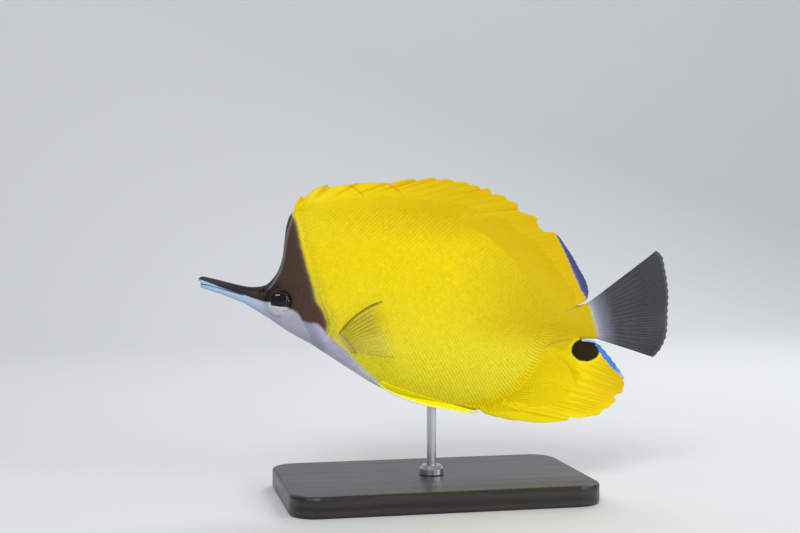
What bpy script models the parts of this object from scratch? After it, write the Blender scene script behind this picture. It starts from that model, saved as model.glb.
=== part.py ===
"""Longnose butterflyfish, a life-size still model held on a plain display stand.

The fish is modelled in its own frame, in millimetres: x runs from the tip of the snout to the middle of the
tail's base, z is up and the left side lies at negative y. One skin carries every piece of flesh: straight
ribs, each a little bowed, run from the keel (the lower outline) to the ridge (the upper outline), and each
rib has a half-width that swells and shrinks along it. An empty then tips the fish as it swims in its pose and
lifts it onto the stand, whose foot is the origin.
"""

import math

import bmesh
import bpy
import numpy as np
from mathutils import Matrix, Vector
from mathutils.bvhtree import BVHTree

# Driving dimensions, in millimetres and degrees
MM = 0.001
NOSE_UP = 6.4
FLOOR_CLEARANCE = 24.0
PARTING = 0.3
MEMBRANE_HALF = 0.27
RAY_RISE = 0.26
SPINE_RISE = 0.42
RAY_START = 4.0
RAY_THINS = 0.85
SHARP_ANGLE = 35.0

# The ribs, from the lips to the end of the tail stem:
# keel x, keel z, ridge x, ridge z, half-width, height of the widest place, fullness, keel half-width,
# ridge half-width, bow towards the tail
RIBS = np.array([
    (0.9, -1.0, 0.0, 0.7, 0.75, 0.50, 0.50, 0.30, 0.30, 0.0),
    (1.3, -2.0, 1.2, 1.6, 1.60, 0.50, 0.50, 0.35, 0.35, 0.0),
    (4.2, -2.7, 4.2, 1.4, 1.30, 0.50, 0.50, 0.35, 0.35, 0.0),
    (9.3, -3.9, 9.3, 0.7, 1.70, 0.50, 0.50, 0.40, 0.40, 0.0),
    (15.6, -5.7, 15.4, -0.1, 2.30, 0.50, 0.50, 0.50, 0.40, 0.0),
    (19.5, -7.5, 19.0, 0.0, 2.90, 0.48, 0.52, 0.60, 0.45, 0.0),
    (23.2, -9.3, 22.3, 1.0, 3.70, 0.48, 0.55, 0.70, 0.50, 0.0),
    (26.6, -11.1, 24.4, 3.3, 4.60, 0.48, 0.58, 0.80, 0.50, 0.0),
    (30.0, -13.0, 25.9, 6.3, 5.40, 0.46, 0.60, 0.90, 0.55, 0.2),
    (33.6, -14.7, 26.8, 10.5, 6.20, 0.42, 0.62, 1.00, 0.60, 0.6),
    (37.2, -16.2, 26.9, 15.8, 7.00, 0.38, 0.64, 1.10, 0.70, 1.2),
    (40.0, -17.4, 27.0, 21.0, 7.70, 0.37, 0.66, 1.10, 0.80, 2.0),
    (42.8, -18.9, 28.3, 25.6, 8.40, 0.38, 0.68, 1.20, 1.00, 2.6),
    (47.5, -21.3, 32.5, 28.0, 9.20, 0.40, 0.70, 1.20, 1.20, 2.0),
    (54.5, -24.9, 41.0, 30.2, 9.80, 0.42, 0.70, 1.30, 1.30, 1.0),
    (62.5, -28.8, 52.0, 32.1, 10.00, 0.44, 0.70, 1.40, 1.30, 0.4),
    (72.0, -31.9, 64.0, 33.0, 9.90, 0.45, 0.70, 1.50, 1.30, 0.0),
    (83.0, -33.2, 77.0, 32.7, 9.20, 0.46, 0.72, 1.50, 1.30, 0.0),
    (94.0, -34.3, 89.5, 29.9, 8.00, 0.48, 0.74, 1.30, 1.30, 0.0),
    (104.5, -33.2, 99.5, 25.2, 6.60, 0.50, 0.76, 1.20, 1.20, 0.0),
    (114.0, -27.6, 108.5, 19.0, 5.30, 0.52, 0.76, 1.10, 1.10, 0.0),
    (119.3, -19.3, 116.0, 12.6, 4.40, 0.52, 0.74, 1.00, 1.00, 0.0),
    (122.8, -11.2, 122.5, 7.6, 3.70, 0.52, 0.70, 0.90, 0.90, 0.0),
    (129.0, -7.4, 128.8, 4.6, 3.00, 0.50, 0.64, 0.80, 0.80, 0.0),
    (139.5, -6.0, 134.8, 5.9, 1.90, 0.50, 0.60, 0.70, 0.70, 0.5),
])
RIB = {name: index for index, name in enumerate((
    "lip_tip", "lips", "jaw_front", "jaw_middle", "jaw_root", "snout", "snout_root", "eye_front", "eye",
    "eye_rear", "cheek", "temple", "gill", "shoulder", "chest", "breast", "pelvic", "belly", "vent",
    "anal_front", "anal_middle", "anal_rear", "stem_front", "stem_middle", "stem_end",
))}

# The eye, a lens in a round socket, and the rim of the orbit that rises off the head round it. Depths are
# distances from the mid-plane.
EYE_X, EYE_Z = 26.7, -3.4
EYE_RADIUS = 3.6
EYE_BACK, EYE_EDGE, EYE_FRONT = 3.4, 4.9, 6.1
ORBIT_RIM, ORBIT_RADIUS, ORBIT_FOOT_RADIUS = 4.1, 5.2, 5.6
ORBIT_BACK, ORBIT_FOOT, ORBIT_EDGE = 2.0, 3.4, 5.15
CUT_FAR = 20.0

# Each nostril: x, z, radius and the distance of its floor from the mid-plane
NOSTRILS = ((20.3, -1.2, 0.32, 1.3), (21.4, -0.9, 0.40, 1.5))

# The gill cover: its front edge from the top down, its rear corners behind the head, and how deep it is cut
GILL_FRONT = (
    (34.4, 2.6), (33.2, -1.0), (32.9, -4.6), (33.4, -7.5), (35.2, -10.2), (36.6, -12.3), (38.3, -15.0),
    (40.2, -17.8),
)
GILL_REAR = ((50.0, -17.8), (50.0, 3.4), (38.0, 3.4))
GILL_DEPTH = 4.6

# A spiny fin's first column is raised a little, as the front edge of its first spine. Behind each tip the
# membrane is notched: the notch lies a share of the way to the next tip, but no further than NOTCH_REACH, and
# the membrane rises from it to just under the next tip. Shares of the way between two spines' roots say where
# the columns behind one spine and ahead of the next stand. A soft ray is a crest between two feet, in shares
# of its own width.
FRONT_CREST = 0.4
NOTCH_SHARE, NOTCH_REACH, WEB_RISE_SHARE = 0.3, 1.0, 0.88
SPINE_FOOT_SHARE, NEXT_FOOT_SHARE = 0.28, 0.74
RAY_FEET = (0.22, 0.5, 0.78)
FIN_ROWS, FAN_ROWS = 6, 7

# Each back spine: base x on the ridge, tip x, tip z, how far the membrane drops behind the tip
DORSAL_SPINES = (
    (29.9, 31.0, 31.6, 0.6), (32.6, 39.1, 36.5, 0.9), (36.0, 49.1, 38.2, 0.1), (40.2, 59.2, 39.4, 0.2),
    (45.0, 68.5, 41.9, 0.8), (50.4, 75.4, 43.1, 0.7), (56.2, 81.6, 43.1, 0.6), (62.2, 87.3, 42.8, 0.8),
    (67.8, 91.3, 42.0, 1.1), (73.2, 95.2, 41.7, 2.0), (78.6, 100.9, 39.8, 1.3), (83.6, 105.8, 37.7, 2.1),
)
DORSAL_FRONT = (28.9, 29.6, 30.1)
DORSAL_CLOSE = (86.0, 106.9, 35.4)
DORSAL_SOFT_RAYS = 23
DORSAL_SOFT_BASE = (86.7, 130.4)
DORSAL_SOFT_EDGE = (
    (106.97, 35.1), (110.0, 34.5), (113.0, 33.7), (113.7, 31.5), (116.4, 29.3), (120.5, 29.0), (124.5, 24.6),
    (128.8, 19.0), (132.2, 14.6), (133.9, 11.0), (134.5, 8.6), (134.1, 7.0), (132.9, 6.0),
)

# The anal fin, laid out as the back fin is
ANAL_SPINES = ((101.0, 106.8, -36.4, 0.2), (103.6, 113.2, -37.0, 0.4), (106.8, 132.6, -35.3, 0.9))
ANAL_FRONT = (100.0, 102.6, -35.6)
ANAL_CLOSE = (108.2, 132.8, -34.5)
ANAL_SOFT_RAYS = 18
ANAL_SOFT_BASE = (108.8, 133.0)
ANAL_SOFT_EDGE = (
    (132.9, -34.15), (137.0, -34.2), (141.2, -33.3), (144.2, -32.4), (145.0, -30.8), (147.0, -29.6),
    (149.5, -26.9), (148.7, -25.5), (151.7, -23.7), (151.6, -18.9), (149.0, -15.7), (146.6, -13.0),
    (143.6, -10.3), (140.3, -8.2), (137.3, -7.3), (134.6, -7.3),
)

# The tail fin: a fan whose rear edge runs from the upper corner to the lower one
TAIL_RAYS = 17
TAIL_EDGE = (
    (158.4, 27.0), (161.0, 25.0), (162.5, 20.5), (163.7, 15.3), (164.8, 10.1), (165.5, 3.0), (165.3, -2.6),
    (163.9, -7.4), (161.8, -10.6),
)

# The pectoral fin: a fan of rays that leave the root at one angle, bend back as they run, and flare from the
# flank. Angles and lengths run from the uppermost ray to the lowest.
PECTORAL_RAYS = 15
PECTORAL_ROOT = ((46.6, -13.6), (49.3, -15.7), (52.6, -18.4))
PECTORAL_LEAVES = (66.0, 50.0, 34.0, 20.0, 9.0, 2.0)
PECTORAL_BENDS = (-38.0, -24.0, -14.0, -8.0, -4.0, -2.0)
PECTORAL_LENGTHS = (19.2, 17.8, 17.4, 17.2, 16.8, 15.0)
PECTORAL_FLARE = 34.0
PECTORAL_CAMBER = 1.1
PECTORAL_ROOT_HALF = 0.45
PECTORAL_RAY_SHARE = 0.8

# The pelvic fin, folded back along the belly: lower edge (the spine) and upper edge (the last ray)
PELVIC_RAYS = 6
PELVIC_SPINE = ((61.6, -27.6), (67.5, -30.8), (74.5, -33.1), (82.5, -34.5), (91.0, -35.0), (99.9, -36.2))
PELVIC_TOP = ((63.0, -26.6), (69.0, -28.3), (76.0, -29.9), (84.0, -31.7), (92.0, -33.4), (100.3, -34.9))
PELVIC_HALF = 0.32
PELVIC_RAY_SHARE = 0.5
PELVIC_NOTCH = 4.0
PELVIC_CLEARANCE = 0.4
PELVIC_SPREAD = 2.5

# The stand: a low block, one rod and the collar round its foot
BASE_LENGTH, BASE_DEPTH, BASE_HEIGHT = 104.0, 62.0, 7.0
BASE_CORNER, BASE_EDGE = 9.0, 1.0
ROD_RADIUS = 1.6
ROD_X = 83.0
ROD_REACH = 7.0
BORE_LENGTH = 60.0
COLLAR_RADIUS, COLLAR_HEIGHT = 4.2, 3.0

FINISHES = {
    "yellow_skin": ((0.80, 0.62, 0.02), 0.45, 0.0),
    "dark_skin": ((0.06, 0.035, 0.03), 0.5, 0.0),
    "pale_skin": ((0.55, 0.55, 0.66), 0.4, 0.0),
    "eye_lens": ((0.01, 0.01, 0.015), 0.08, 0.0),
    "tail_membrane": ((0.16, 0.16, 0.19), 0.4, 0.0),
    "clear_fin": ((0.62, 0.55, 0.15), 0.4, 0.0),
    "black_wood": ((0.02, 0.018, 0.016), 0.4, 0.0),
    "steel": ((0.6, 0.6, 0.6), 0.25, 1.0),
}


def clear_scene():
    """Removes the objects of the startup scene."""
    for found in list(bpy.data.objects):
        bpy.data.objects.remove(found, do_unlink=True)


def collection_named(name):
    """A new collection in the scene."""
    made = bpy.data.collections.new(name)
    bpy.context.scene.collection.children.link(made)
    return made


def material_named(name):
    """The Principled material of that name, made the first time it is asked for."""
    if name in bpy.data.materials:
        return bpy.data.materials[name]
    colour, roughness, metallic = FINISHES[name]
    made = bpy.data.materials.new(name)
    made.use_nodes = True
    shader = made.node_tree.nodes["Principled BSDF"]
    shader.inputs["Base Color"].default_value = (*colour, 1.0)
    shader.inputs["Roughness"].default_value = roughness
    shader.inputs["Metallic"].default_value = metallic
    made.diffuse_color = (*colour, 1.0)
    return made


def along(points, u):
    """Points at the parameters u on a smooth curve through the given ones, one unit apart (Catmull-Rom)."""
    knots = np.asarray(points, float)
    knots = np.vstack([2 * knots[0] - knots[1], knots, 2 * knots[-1] - knots[-2]])
    u = np.atleast_1d(np.asarray(u, float))
    start = np.clip(np.floor(u).astype(int), 0, len(knots) - 4)
    f = (u - start)[:, None]
    a, b, c, d = (knots[start + i] for i in range(4))
    curved = (2 * a - 5 * b + 4 * c - d) * f ** 2 + (3 * b - a - 3 * c + d) * f ** 3
    return 0.5 * (2 * b + (c - a) * f + curved)


def along_length(points, share):
    """Points at the given shares of the length of a polyline."""
    points = np.asarray(points, float)
    length = np.concatenate([[0], np.cumsum(np.linalg.norm(np.diff(points, axis=0), axis=1))])
    at = np.asarray(share) * length[-1]
    return np.stack([np.interp(at, length, points[:, k]) for k in range(points.shape[1])], -1)


def rib_point(u, t):
    """The skin at rib parameter u and height t, 0 at the keel and 1 at the ridge: x, z and half-width."""
    u, t = np.broadcast_arrays(np.asarray(u, float), np.asarray(t, float))
    row = along(RIBS, u.ravel()).reshape(*u.shape, RIBS.shape[1])
    keel, ridge = row[..., 0:2], row[..., 2:4]
    half, widest, fullness, keel_half, ridge_half, bow = (row[..., k] for k in range(4, 10))
    lean = t ** (math.log(0.5) / np.log(widest))
    swell = (1 - np.abs(2 * lean - 1) ** 2) ** fullness
    edge = keel_half + (ridge_half - keel_half) * t
    width = edge + (half - edge) * swell
    across = ridge - keel
    across = across / np.linalg.norm(across, axis=-1, keepdims=True)
    rearward = np.stack([across[..., 1], -across[..., 0]], -1)
    side = keel + (ridge - keel) * t[..., None]
    side = side + (bow * np.sin(np.pi * np.sqrt(t)))[..., None] * rearward
    return side[..., 0], side[..., 1], width


def rib_at_x(x, t):
    """The rib parameter at which the keel (t 0) or the ridge (t 1), behind the head, has that x."""
    u = np.linspace(RIB["gill"], RIB["stem_end"], 1200)
    return np.interp(x, rib_point(u, np.full_like(u, t))[0], u)


def finish(mesh, material, weld=0.0):
    """Welds a closed mesh where asked, turns its faces outwards, shades it and gives it its material."""
    shape = bmesh.new()
    shape.from_mesh(mesh)
    if weld:
        bmesh.ops.remove_doubles(shape, verts=shape.verts, dist=weld * MM)
    bmesh.ops.recalc_face_normals(shape, faces=shape.faces)
    if shape.calc_volume(signed=True) < 0:
        bmesh.ops.reverse_faces(shape, faces=shape.faces)
    shape.to_mesh(mesh)
    shape.free()
    mesh.shade_smooth()
    mesh.set_sharp_from_angle(angle=math.radians(SHARP_ANGLE))
    mesh.materials.append(material_named(material))


def new_object(name, vertices, faces, material, collection):
    """A mesh object in the fish's frame, from points in millimetres."""
    mesh = bpy.data.meshes.new(name)
    mesh.from_pydata((np.asarray(vertices, float) * MM).tolist(), [], faces)
    finish(mesh, material)
    made = bpy.data.objects.new(name, mesh)
    collection.objects.link(made)
    return made


def flesh(name, from_u, to_u, columns, rows, material, collection, low=None, high=None):
    """A closed length of the skin between two ribs, with a plain face at each end. low and high, functions of
    u, bound it in height where it is only the lower or the upper part, as a jaw is."""
    u = np.linspace(from_u, to_u, columns)
    bottom = low(u) if low else np.zeros(columns)
    top = high(u) if high else np.ones(columns)
    rounded = (1 - np.cos(np.linspace(0, np.pi, rows))) / 2
    t = bottom[:, None] + (top - bottom)[:, None] * rounded[None, :]
    x, z, half = rib_point(np.repeat(u[:, None], rows, axis=1), t)
    left = np.stack([x, -half, z], -1)
    right = np.stack([x, half, z], -1)[:, ::-1]
    ring = np.concatenate([left, right], axis=1)
    around = 2 * rows
    faces = []
    for i in range(columns - 1):
        for j in range(around):
            k = (j + 1) % around
            faces.append((i * around + j, i * around + k, (i + 1) * around + k, (i + 1) * around + j))
    for start in (0, (columns - 1) * around):
        for j in range(rows - 1):
            faces.append((start + j, start + j + 1, start + around - 2 - j, start + around - 1 - j))
    return new_object(name, ring.reshape(-1, 3), faces, material, collection)


def sheet(name, middle, offset, material, collection):
    """A thin closed vane: middle is a grid of points and offset carries each to its two faces, which are
    split into triangles alike."""
    columns, rows = middle.shape[:2]
    points = np.concatenate([(middle + offset).reshape(-1, 3), (middle - offset).reshape(-1, 3)])
    count = columns * rows
    faces = []
    for i in range(columns - 1):
        for j in range(rows - 1):
            a, b, c, d = i * rows + j, (i + 1) * rows + j, (i + 1) * rows + j + 1, i * rows + j + 1
            faces += [(a, b, c), (a, c, d)]
            faces += [(a + count, c + count, b + count), (a + count, d + count, c + count)]
    rim = [i * rows for i in range(columns)] + [(columns - 1) * rows + j for j in range(1, rows)]
    rim += [i * rows + rows - 1 for i in range(columns - 2, -1, -1)] + list(range(rows - 2, 0, -1))
    for a, b in zip(rim, rim[1:] + rim[:1]):
        faces += [(b, a, a + count), (b, a + count, b + count)]
    return new_object(name, points, faces, material, collection)


def mirrored(source, name, collection):
    """The same piece on the fish's other side."""
    mesh = source.data.copy()
    mesh.transform(Matrix.Scale(-1, 4, (0, 1, 0)))
    mesh.flip_normals()
    made = bpy.data.objects.new(name, mesh)
    collection.objects.link(made)
    return made


def turned(name, profile, steps, material, collection):
    """A profile of (radius, height) pairs in millimetres, turned about z by a Screw modifier."""
    mesh = bpy.data.meshes.new(name)
    points = [(radius * MM, 0.0, height * MM) for radius, height in profile]
    mesh.from_pydata(points, [(i, i + 1) for i in range(len(points) - 1)], [])
    made = bpy.data.objects.new(name, mesh)
    collection.objects.link(made)
    screw = made.modifiers.new("turn", "SCREW")
    screw.axis = "Z"
    screw.steps = screw.render_steps = steps
    screw.use_merge_vertices = True
    screw.merge_threshold = 0.00002
    settle(made)
    finish(made.data, material)
    return made


def settle(piece):
    """Applies the piece's modifiers."""
    bpy.context.view_layer.update()
    graph = bpy.context.evaluated_depsgraph_get()
    old = piece.data
    piece.data = bpy.data.meshes.new_from_object(piece.evaluated_get(graph))
    piece.modifiers.clear()
    bpy.data.meshes.remove(old)


def keep_largest(piece):
    """Drops all but the largest closed surface of the piece."""
    shape = bmesh.new()
    shape.from_mesh(piece.data)
    shape.faces.ensure_lookup_table()
    unseen, islands = set(shape.faces), []
    while unseen:
        island, front = set(), [next(iter(unseen))]
        while front:
            face = front.pop()
            if face in island:
                continue
            island.add(face)
            front += [near for edge in face.edges for near in edge.link_faces if near not in island]
        unseen -= island
        islands.append(island)
    largest = max(islands, key=lambda island: sum(face.calc_area() for face in island))
    spare = [face for island in islands if island is not largest for face in island]
    bmesh.ops.delete(shape, geom=spare, context="FACES")
    shape.to_mesh(piece.data)
    shape.free()


def cut(piece, operation, tools):
    """Joins, cuts or intersects the piece with a collection of closed meshes, and removes them."""
    holder = collection_named(piece.name + "_tools")
    for tool in tools:
        for owner in list(tool.users_collection):
            owner.objects.unlink(tool)
        holder.objects.link(tool)
    step = piece.modifiers.new(operation.lower(), "BOOLEAN")
    step.operation = operation
    step.solver = "EXACT"
    step.operand_type = "COLLECTION"
    step.collection = holder
    settle(piece)
    for tool in tools:
        bpy.data.objects.remove(tool, do_unlink=True)
    bpy.data.collections.remove(holder)
    keep_largest(piece)


def to_side(piece, x, z, side):
    """Stands a shape turned about z on the fish's side, its top outwards: side is -1 left, 1 right."""
    turn = Matrix.Rotation(math.radians(-90 * side), 4, "X")
    piece.data.transform(Matrix.Translation((x * MM, 0, z * MM)) @ turn)
    return piece


def slab(name, outline, near, far, collection):
    """A side-view outline, drawn as a filled curve and extruded across the fish from y near to y far."""
    curve = bpy.data.curves.new(name, "CURVE")
    curve.dimensions = "2D"
    curve.fill_mode = "BOTH"
    curve.extrude = abs(far - near) / 2 * MM
    spline = curve.splines.new("POLY")
    spline.points.add(len(outline) - 1)
    spline.use_cyclic_u = True
    for point, (x, z) in zip(spline.points, outline):
        point.co = (x * MM, z * MM, 0, 1)
    drawn = bpy.data.objects.new(name, curve)
    collection.objects.link(drawn)
    bpy.context.view_layer.update()
    graph = bpy.context.evaluated_depsgraph_get()
    mesh = bpy.data.meshes.new_from_object(drawn.evaluated_get(graph))
    bpy.data.objects.remove(drawn, do_unlink=True)
    upright = Matrix.Rotation(math.radians(90), 4, "X")
    mesh.transform(Matrix.Translation((0, (near + far) / 2 * MM, 0)) @ upright)
    finish(mesh, "dark_skin", weld=0.001)
    made = bpy.data.objects.new(name, mesh)
    collection.objects.link(made)
    return made


def skin_reader(pieces):
    """A function that gives how far the flesh reaches from the mid-plane at a side-view point, 0 off it."""
    trees = []
    for piece in pieces:
        corners = [vertex.co for vertex in piece.data.vertices]
        trees.append(BVHTree.FromPolygons(corners, [face.vertices for face in piece.data.polygons]))

    def reach(x, z):
        hits = [tree.ray_cast(Vector((x * MM, -1, z * MM)), Vector((0, 1, 0)))[0] for tree in trees]
        return max([-hit.y / MM for hit in hits if hit is not None], default=0.0)

    return reach


def mouth_line(u):
    """The mouth's line, as a height on the ribs: it rises a little from the lips to the jaws' corner."""
    return np.interp(u, (RIB["lip_tip"], RIB["lips"], RIB["jaw_root"]), (0.33, 0.30, 0.42))


def mouth_gap(u):
    """The half of the gap between the jaws, wide at the parted lips and narrow behind them."""
    places = (RIB["lip_tip"], RIB["lips"], RIB["jaw_front"], RIB["jaw_root"])
    return np.interp(u, places, (0.20, 0.11, 0.05, 0.035))


def jaws_and_snout(collection):
    """The two jaws, with their swollen lips, and the tube that carries them."""
    root = RIB["jaw_root"] - 0.03
    flesh("upper_jaw", RIB["lip_tip"], root, 13, 8, "dark_skin", collection,
          low=lambda u: mouth_line(u) + mouth_gap(u))
    flesh("lower_jaw", RIB["lip_tip"] + 0.15, root, 13, 8, "pale_skin", collection,
          high=lambda u: mouth_line(u) - mouth_gap(u))
    flesh("snout", RIB["jaw_root"] + 0.03, RIB["snout"] - 0.05, 5, 12, "dark_skin", collection)


def gill_outline(grow):
    """The side-view outline of the gill cover, grown outwards all round by that much."""
    front = along(GILL_FRONT, np.linspace(0, len(GILL_FRONT) - 1, 18))
    rear = np.array(GILL_REAR)
    away = front - front.mean(axis=0) - (3.5, 0.0)
    front = front + grow * away / np.linalg.norm(away, axis=1)[:, None]
    rear[:, 1] += (-grow, grow, grow)
    return np.vstack([front, rear]).tolist()


def head_and_gills(collection):
    """The head with its eye sockets and nostrils, and the two gill covers that are parted from its sides."""
    head = flesh("head", RIB["snout"] + 0.04, RIB["gill"] - 0.05, 22, 15, "dark_skin", collection)
    covers = []
    for side, name in ((-1, "gill_cover_left"), (1, "gill_cover_right")):
        cover = head.copy()
        cover.data = head.data.copy()
        cover.name = cover.data.name = name
        collection.objects.link(cover)
        shape = slab(name + "_shape", gill_outline(0), side * GILL_DEPTH, side * CUT_FAR, collection)
        covers.append((cover, shape))
    recess = [slab("recess", gill_outline(PARTING), side * (GILL_DEPTH - PARTING), side * CUT_FAR, collection)
              for side in (-1, 1)]
    for cover, shape in covers:
        cut(cover, "INTERSECT", [shape])
    orbit_profile = [(0, ORBIT_EDGE)]
    for a in np.radians(np.linspace(90, 10, 6)):
        orbit_profile.append((ORBIT_RIM + (ORBIT_RADIUS - ORBIT_RIM) * math.cos(a),
                              ORBIT_FOOT + (ORBIT_EDGE - ORBIT_FOOT) * math.sin(a)))
    orbit_profile += [(ORBIT_FOOT_RADIUS, ORBIT_BACK), (0, ORBIT_BACK)]
    orbits = [to_side(turned("orbit", orbit_profile, 32, "dark_skin", collection), EYE_X, EYE_Z, side)
              for side in (-1, 1)]
    cut(head, "UNION", orbits)
    radius, floor = EYE_RADIUS + PARTING, EYE_BACK - PARTING
    socket_profile = ((0, CUT_FAR), (radius, CUT_FAR), (radius, floor), (0, floor))
    sockets = [to_side(turned("socket", socket_profile, 32, "dark_skin", collection), EYE_X, EYE_Z, side)
               for side in (-1, 1)]
    nostrils = []
    for x, z, radius, floor in NOSTRILS:
        profile = ((0, CUT_FAR), (radius, CUT_FAR), (radius, floor), (0, floor))
        for side in (-1, 1):
            nostrils.append(to_side(turned("nostril", profile, 8, "dark_skin", collection), x, z, side))
    cut(head, "DIFFERENCE", sockets + nostrils + recess)


def eyes(collection):
    """The two lenses, each a low dome on a short drum."""
    rise = EYE_FRONT - EYE_EDGE
    dome = [(EYE_RADIUS * math.sin(a), EYE_EDGE + rise * math.cos(a))
            for a in np.linspace(0, math.pi / 2, 6)]
    profile = [(max(r, 0.0), h) for r, h in dome] + [(EYE_RADIUS, EYE_BACK), (0, EYE_BACK)]
    for side, name in ((-1, "eye_left"), (1, "eye_right")):
        to_side(turned(name, profile, 32, "eye_lens", collection), EYE_X, EYE_Z, side)


def trunk_and_stem(collection):
    """The trunk, bored below for the stand's rod, and the tail stem behind it. It gives back the trunk."""
    trunk = flesh("trunk", RIB["gill"] + 0.05, RIB["stem_front"] - 0.03, 27, 17, "yellow_skin", collection)
    foot = rib_at_x(ROD_X, 0)
    _, keel_z, _ = rib_point(foot, 0.0)
    radius, top = ROD_RADIUS + PARTING, ROD_REACH + PARTING
    profile = ((0, top), (radius, top), (radius, -BORE_LENGTH), (0, -BORE_LENGTH))
    bore = turned("bore", profile, 20, "steel", collection)
    bore.data.transform(rod_placement(float(keel_z)))
    cut(trunk, "DIFFERENCE", [bore])
    flesh("tail_stem", RIB["stem_front"] + 0.03, RIB["stem_end"], 8, 12, "yellow_skin", collection)
    return trunk


def rod_placement(keel_z):
    """Where the rod's top length stands in the fish's frame: upright once the fish is tipped."""
    lean = Matrix.Rotation(math.radians(-NOSE_UP), 4, "Y")
    return Matrix.Translation((ROD_X * MM, 0, keel_z * MM)) @ lean


def ray_taper(s):
    """How far a ray stands out along its length: it comes up out of the foot and thins towards the edge."""
    return np.minimum(1, RAY_START * s) * (1 - RAY_THINS * s)


def median_fin(name, base, edge, base_half, rise, crest, rows, material, collection):
    """A fin on the mid-plane: columns run from base to edge, and crest says how far each is raised as a ray.
    The fleshy foot thins to the membrane, and the rays taper to their tips."""
    s = np.linspace(0, 1, rows)
    side = base[:, None] + (edge - base)[:, None] * s[None, :, None]
    middle = np.stack([side[..., 0], np.zeros(side.shape[:2]), side[..., 1]], -1)
    half = MEMBRANE_HALF + (base_half[:, None] - MEMBRANE_HALF) * (1 - s[None, :]) ** 1.5
    half = half + rise * crest[:, None] * ray_taper(s)[None, :]
    offset = np.stack([np.zeros_like(half), half, np.zeros_like(half)], -1)
    return sheet(name, middle, offset, material, collection)


def fin_base(x, t):
    """Points on the keel (t 0) or the ridge (t 1) moved outwards by the parting, and the half-width there."""
    u = rib_at_x(np.asarray(x, float), t)
    px, pz, half = rib_point(u, np.full_like(u, t))
    ahead = rib_point(u + 0.02, np.full_like(u, t))
    run = np.stack([ahead[0] - px, ahead[1] - pz], -1)
    run = run / np.linalg.norm(run, axis=-1, keepdims=True)
    out = np.stack([-run[:, 1], run[:, 0]], -1) * (1 if t > 0.5 else -1)
    return np.stack([px, pz], -1) + out * PARTING, half


def spiny_fin(name, spines, front, close, t, collection):
    """Spines that lie back over one another, each with a notched membrane behind its tip. front and close are
    the base x and edge point of the fin's first and last columns."""
    drop_way = -1 if t > 0.5 else 1
    columns = [(*front, FRONT_CREST)]
    following = [spine[:3] for spine in spines[1:]] + [close]
    for (root, tip_x, tip_z, drop), (next_root, next_x, next_z) in zip(spines, following):
        notch_x = tip_x + min(NOTCH_REACH, NOTCH_SHARE * (next_x - tip_x))
        notch_z = tip_z + drop_way * drop
        columns.append((root, tip_x, tip_z, 1.0))
        columns.append((root + SPINE_FOOT_SHARE * (next_root - root), notch_x, notch_z, 0.0))
        columns.append((root + NEXT_FOOT_SHARE * (next_root - root),
                        notch_x + WEB_RISE_SHARE * (next_x - notch_x),
                        notch_z + WEB_RISE_SHARE * (next_z - notch_z), 0.0))
    columns.append((*close, 0.0))
    columns = np.array(columns)
    base, half = fin_base(columns[:, 0], t)
    return median_fin(name, base, columns[:, 1:3], half, SPINE_RISE, columns[:, 3], FIN_ROWS, "yellow_skin",
                      collection)


def ray_columns(rays):
    """Where the columns of a fin with that many soft rays stand, from 0 to 1, and how far each is raised: a
    crest with a foot either side of it for each ray, and flat membrane between."""
    share = (np.arange(rays)[:, None] + np.array(RAY_FEET)[None, :]).ravel() / rays
    crest = np.tile((0.0, 1.0, 0.0), rays)
    return np.concatenate([[0.0], share, [1.0]]), np.concatenate([[0.0], crest, [0.0]])


def soft_fin(name, rays, base_range, edge, t, collection):
    """Soft rays side by side along the ridge or the keel."""
    share, crest = ray_columns(rays)
    base, half = fin_base(base_range[0] + (base_range[1] - base_range[0]) * share, t)
    return median_fin(name, base, along_length(edge, share), half, RAY_RISE, crest, FIN_ROWS, "yellow_skin",
                      collection)


def tail_fin(collection):
    """The tail fin's fan, which meets the slanting end of the tail stem."""
    share, crest = ray_columns(TAIL_RAYS)
    x, z, half = rib_point(np.full(len(share), float(RIB["stem_end"])), 1 - share)
    base = np.stack([x + PARTING, z], -1)
    return median_fin("tail_fin", base, along_length(TAIL_EDGE, share), half, RAY_RISE, crest, FAN_ROWS,
                      "tail_membrane", collection)


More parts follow.
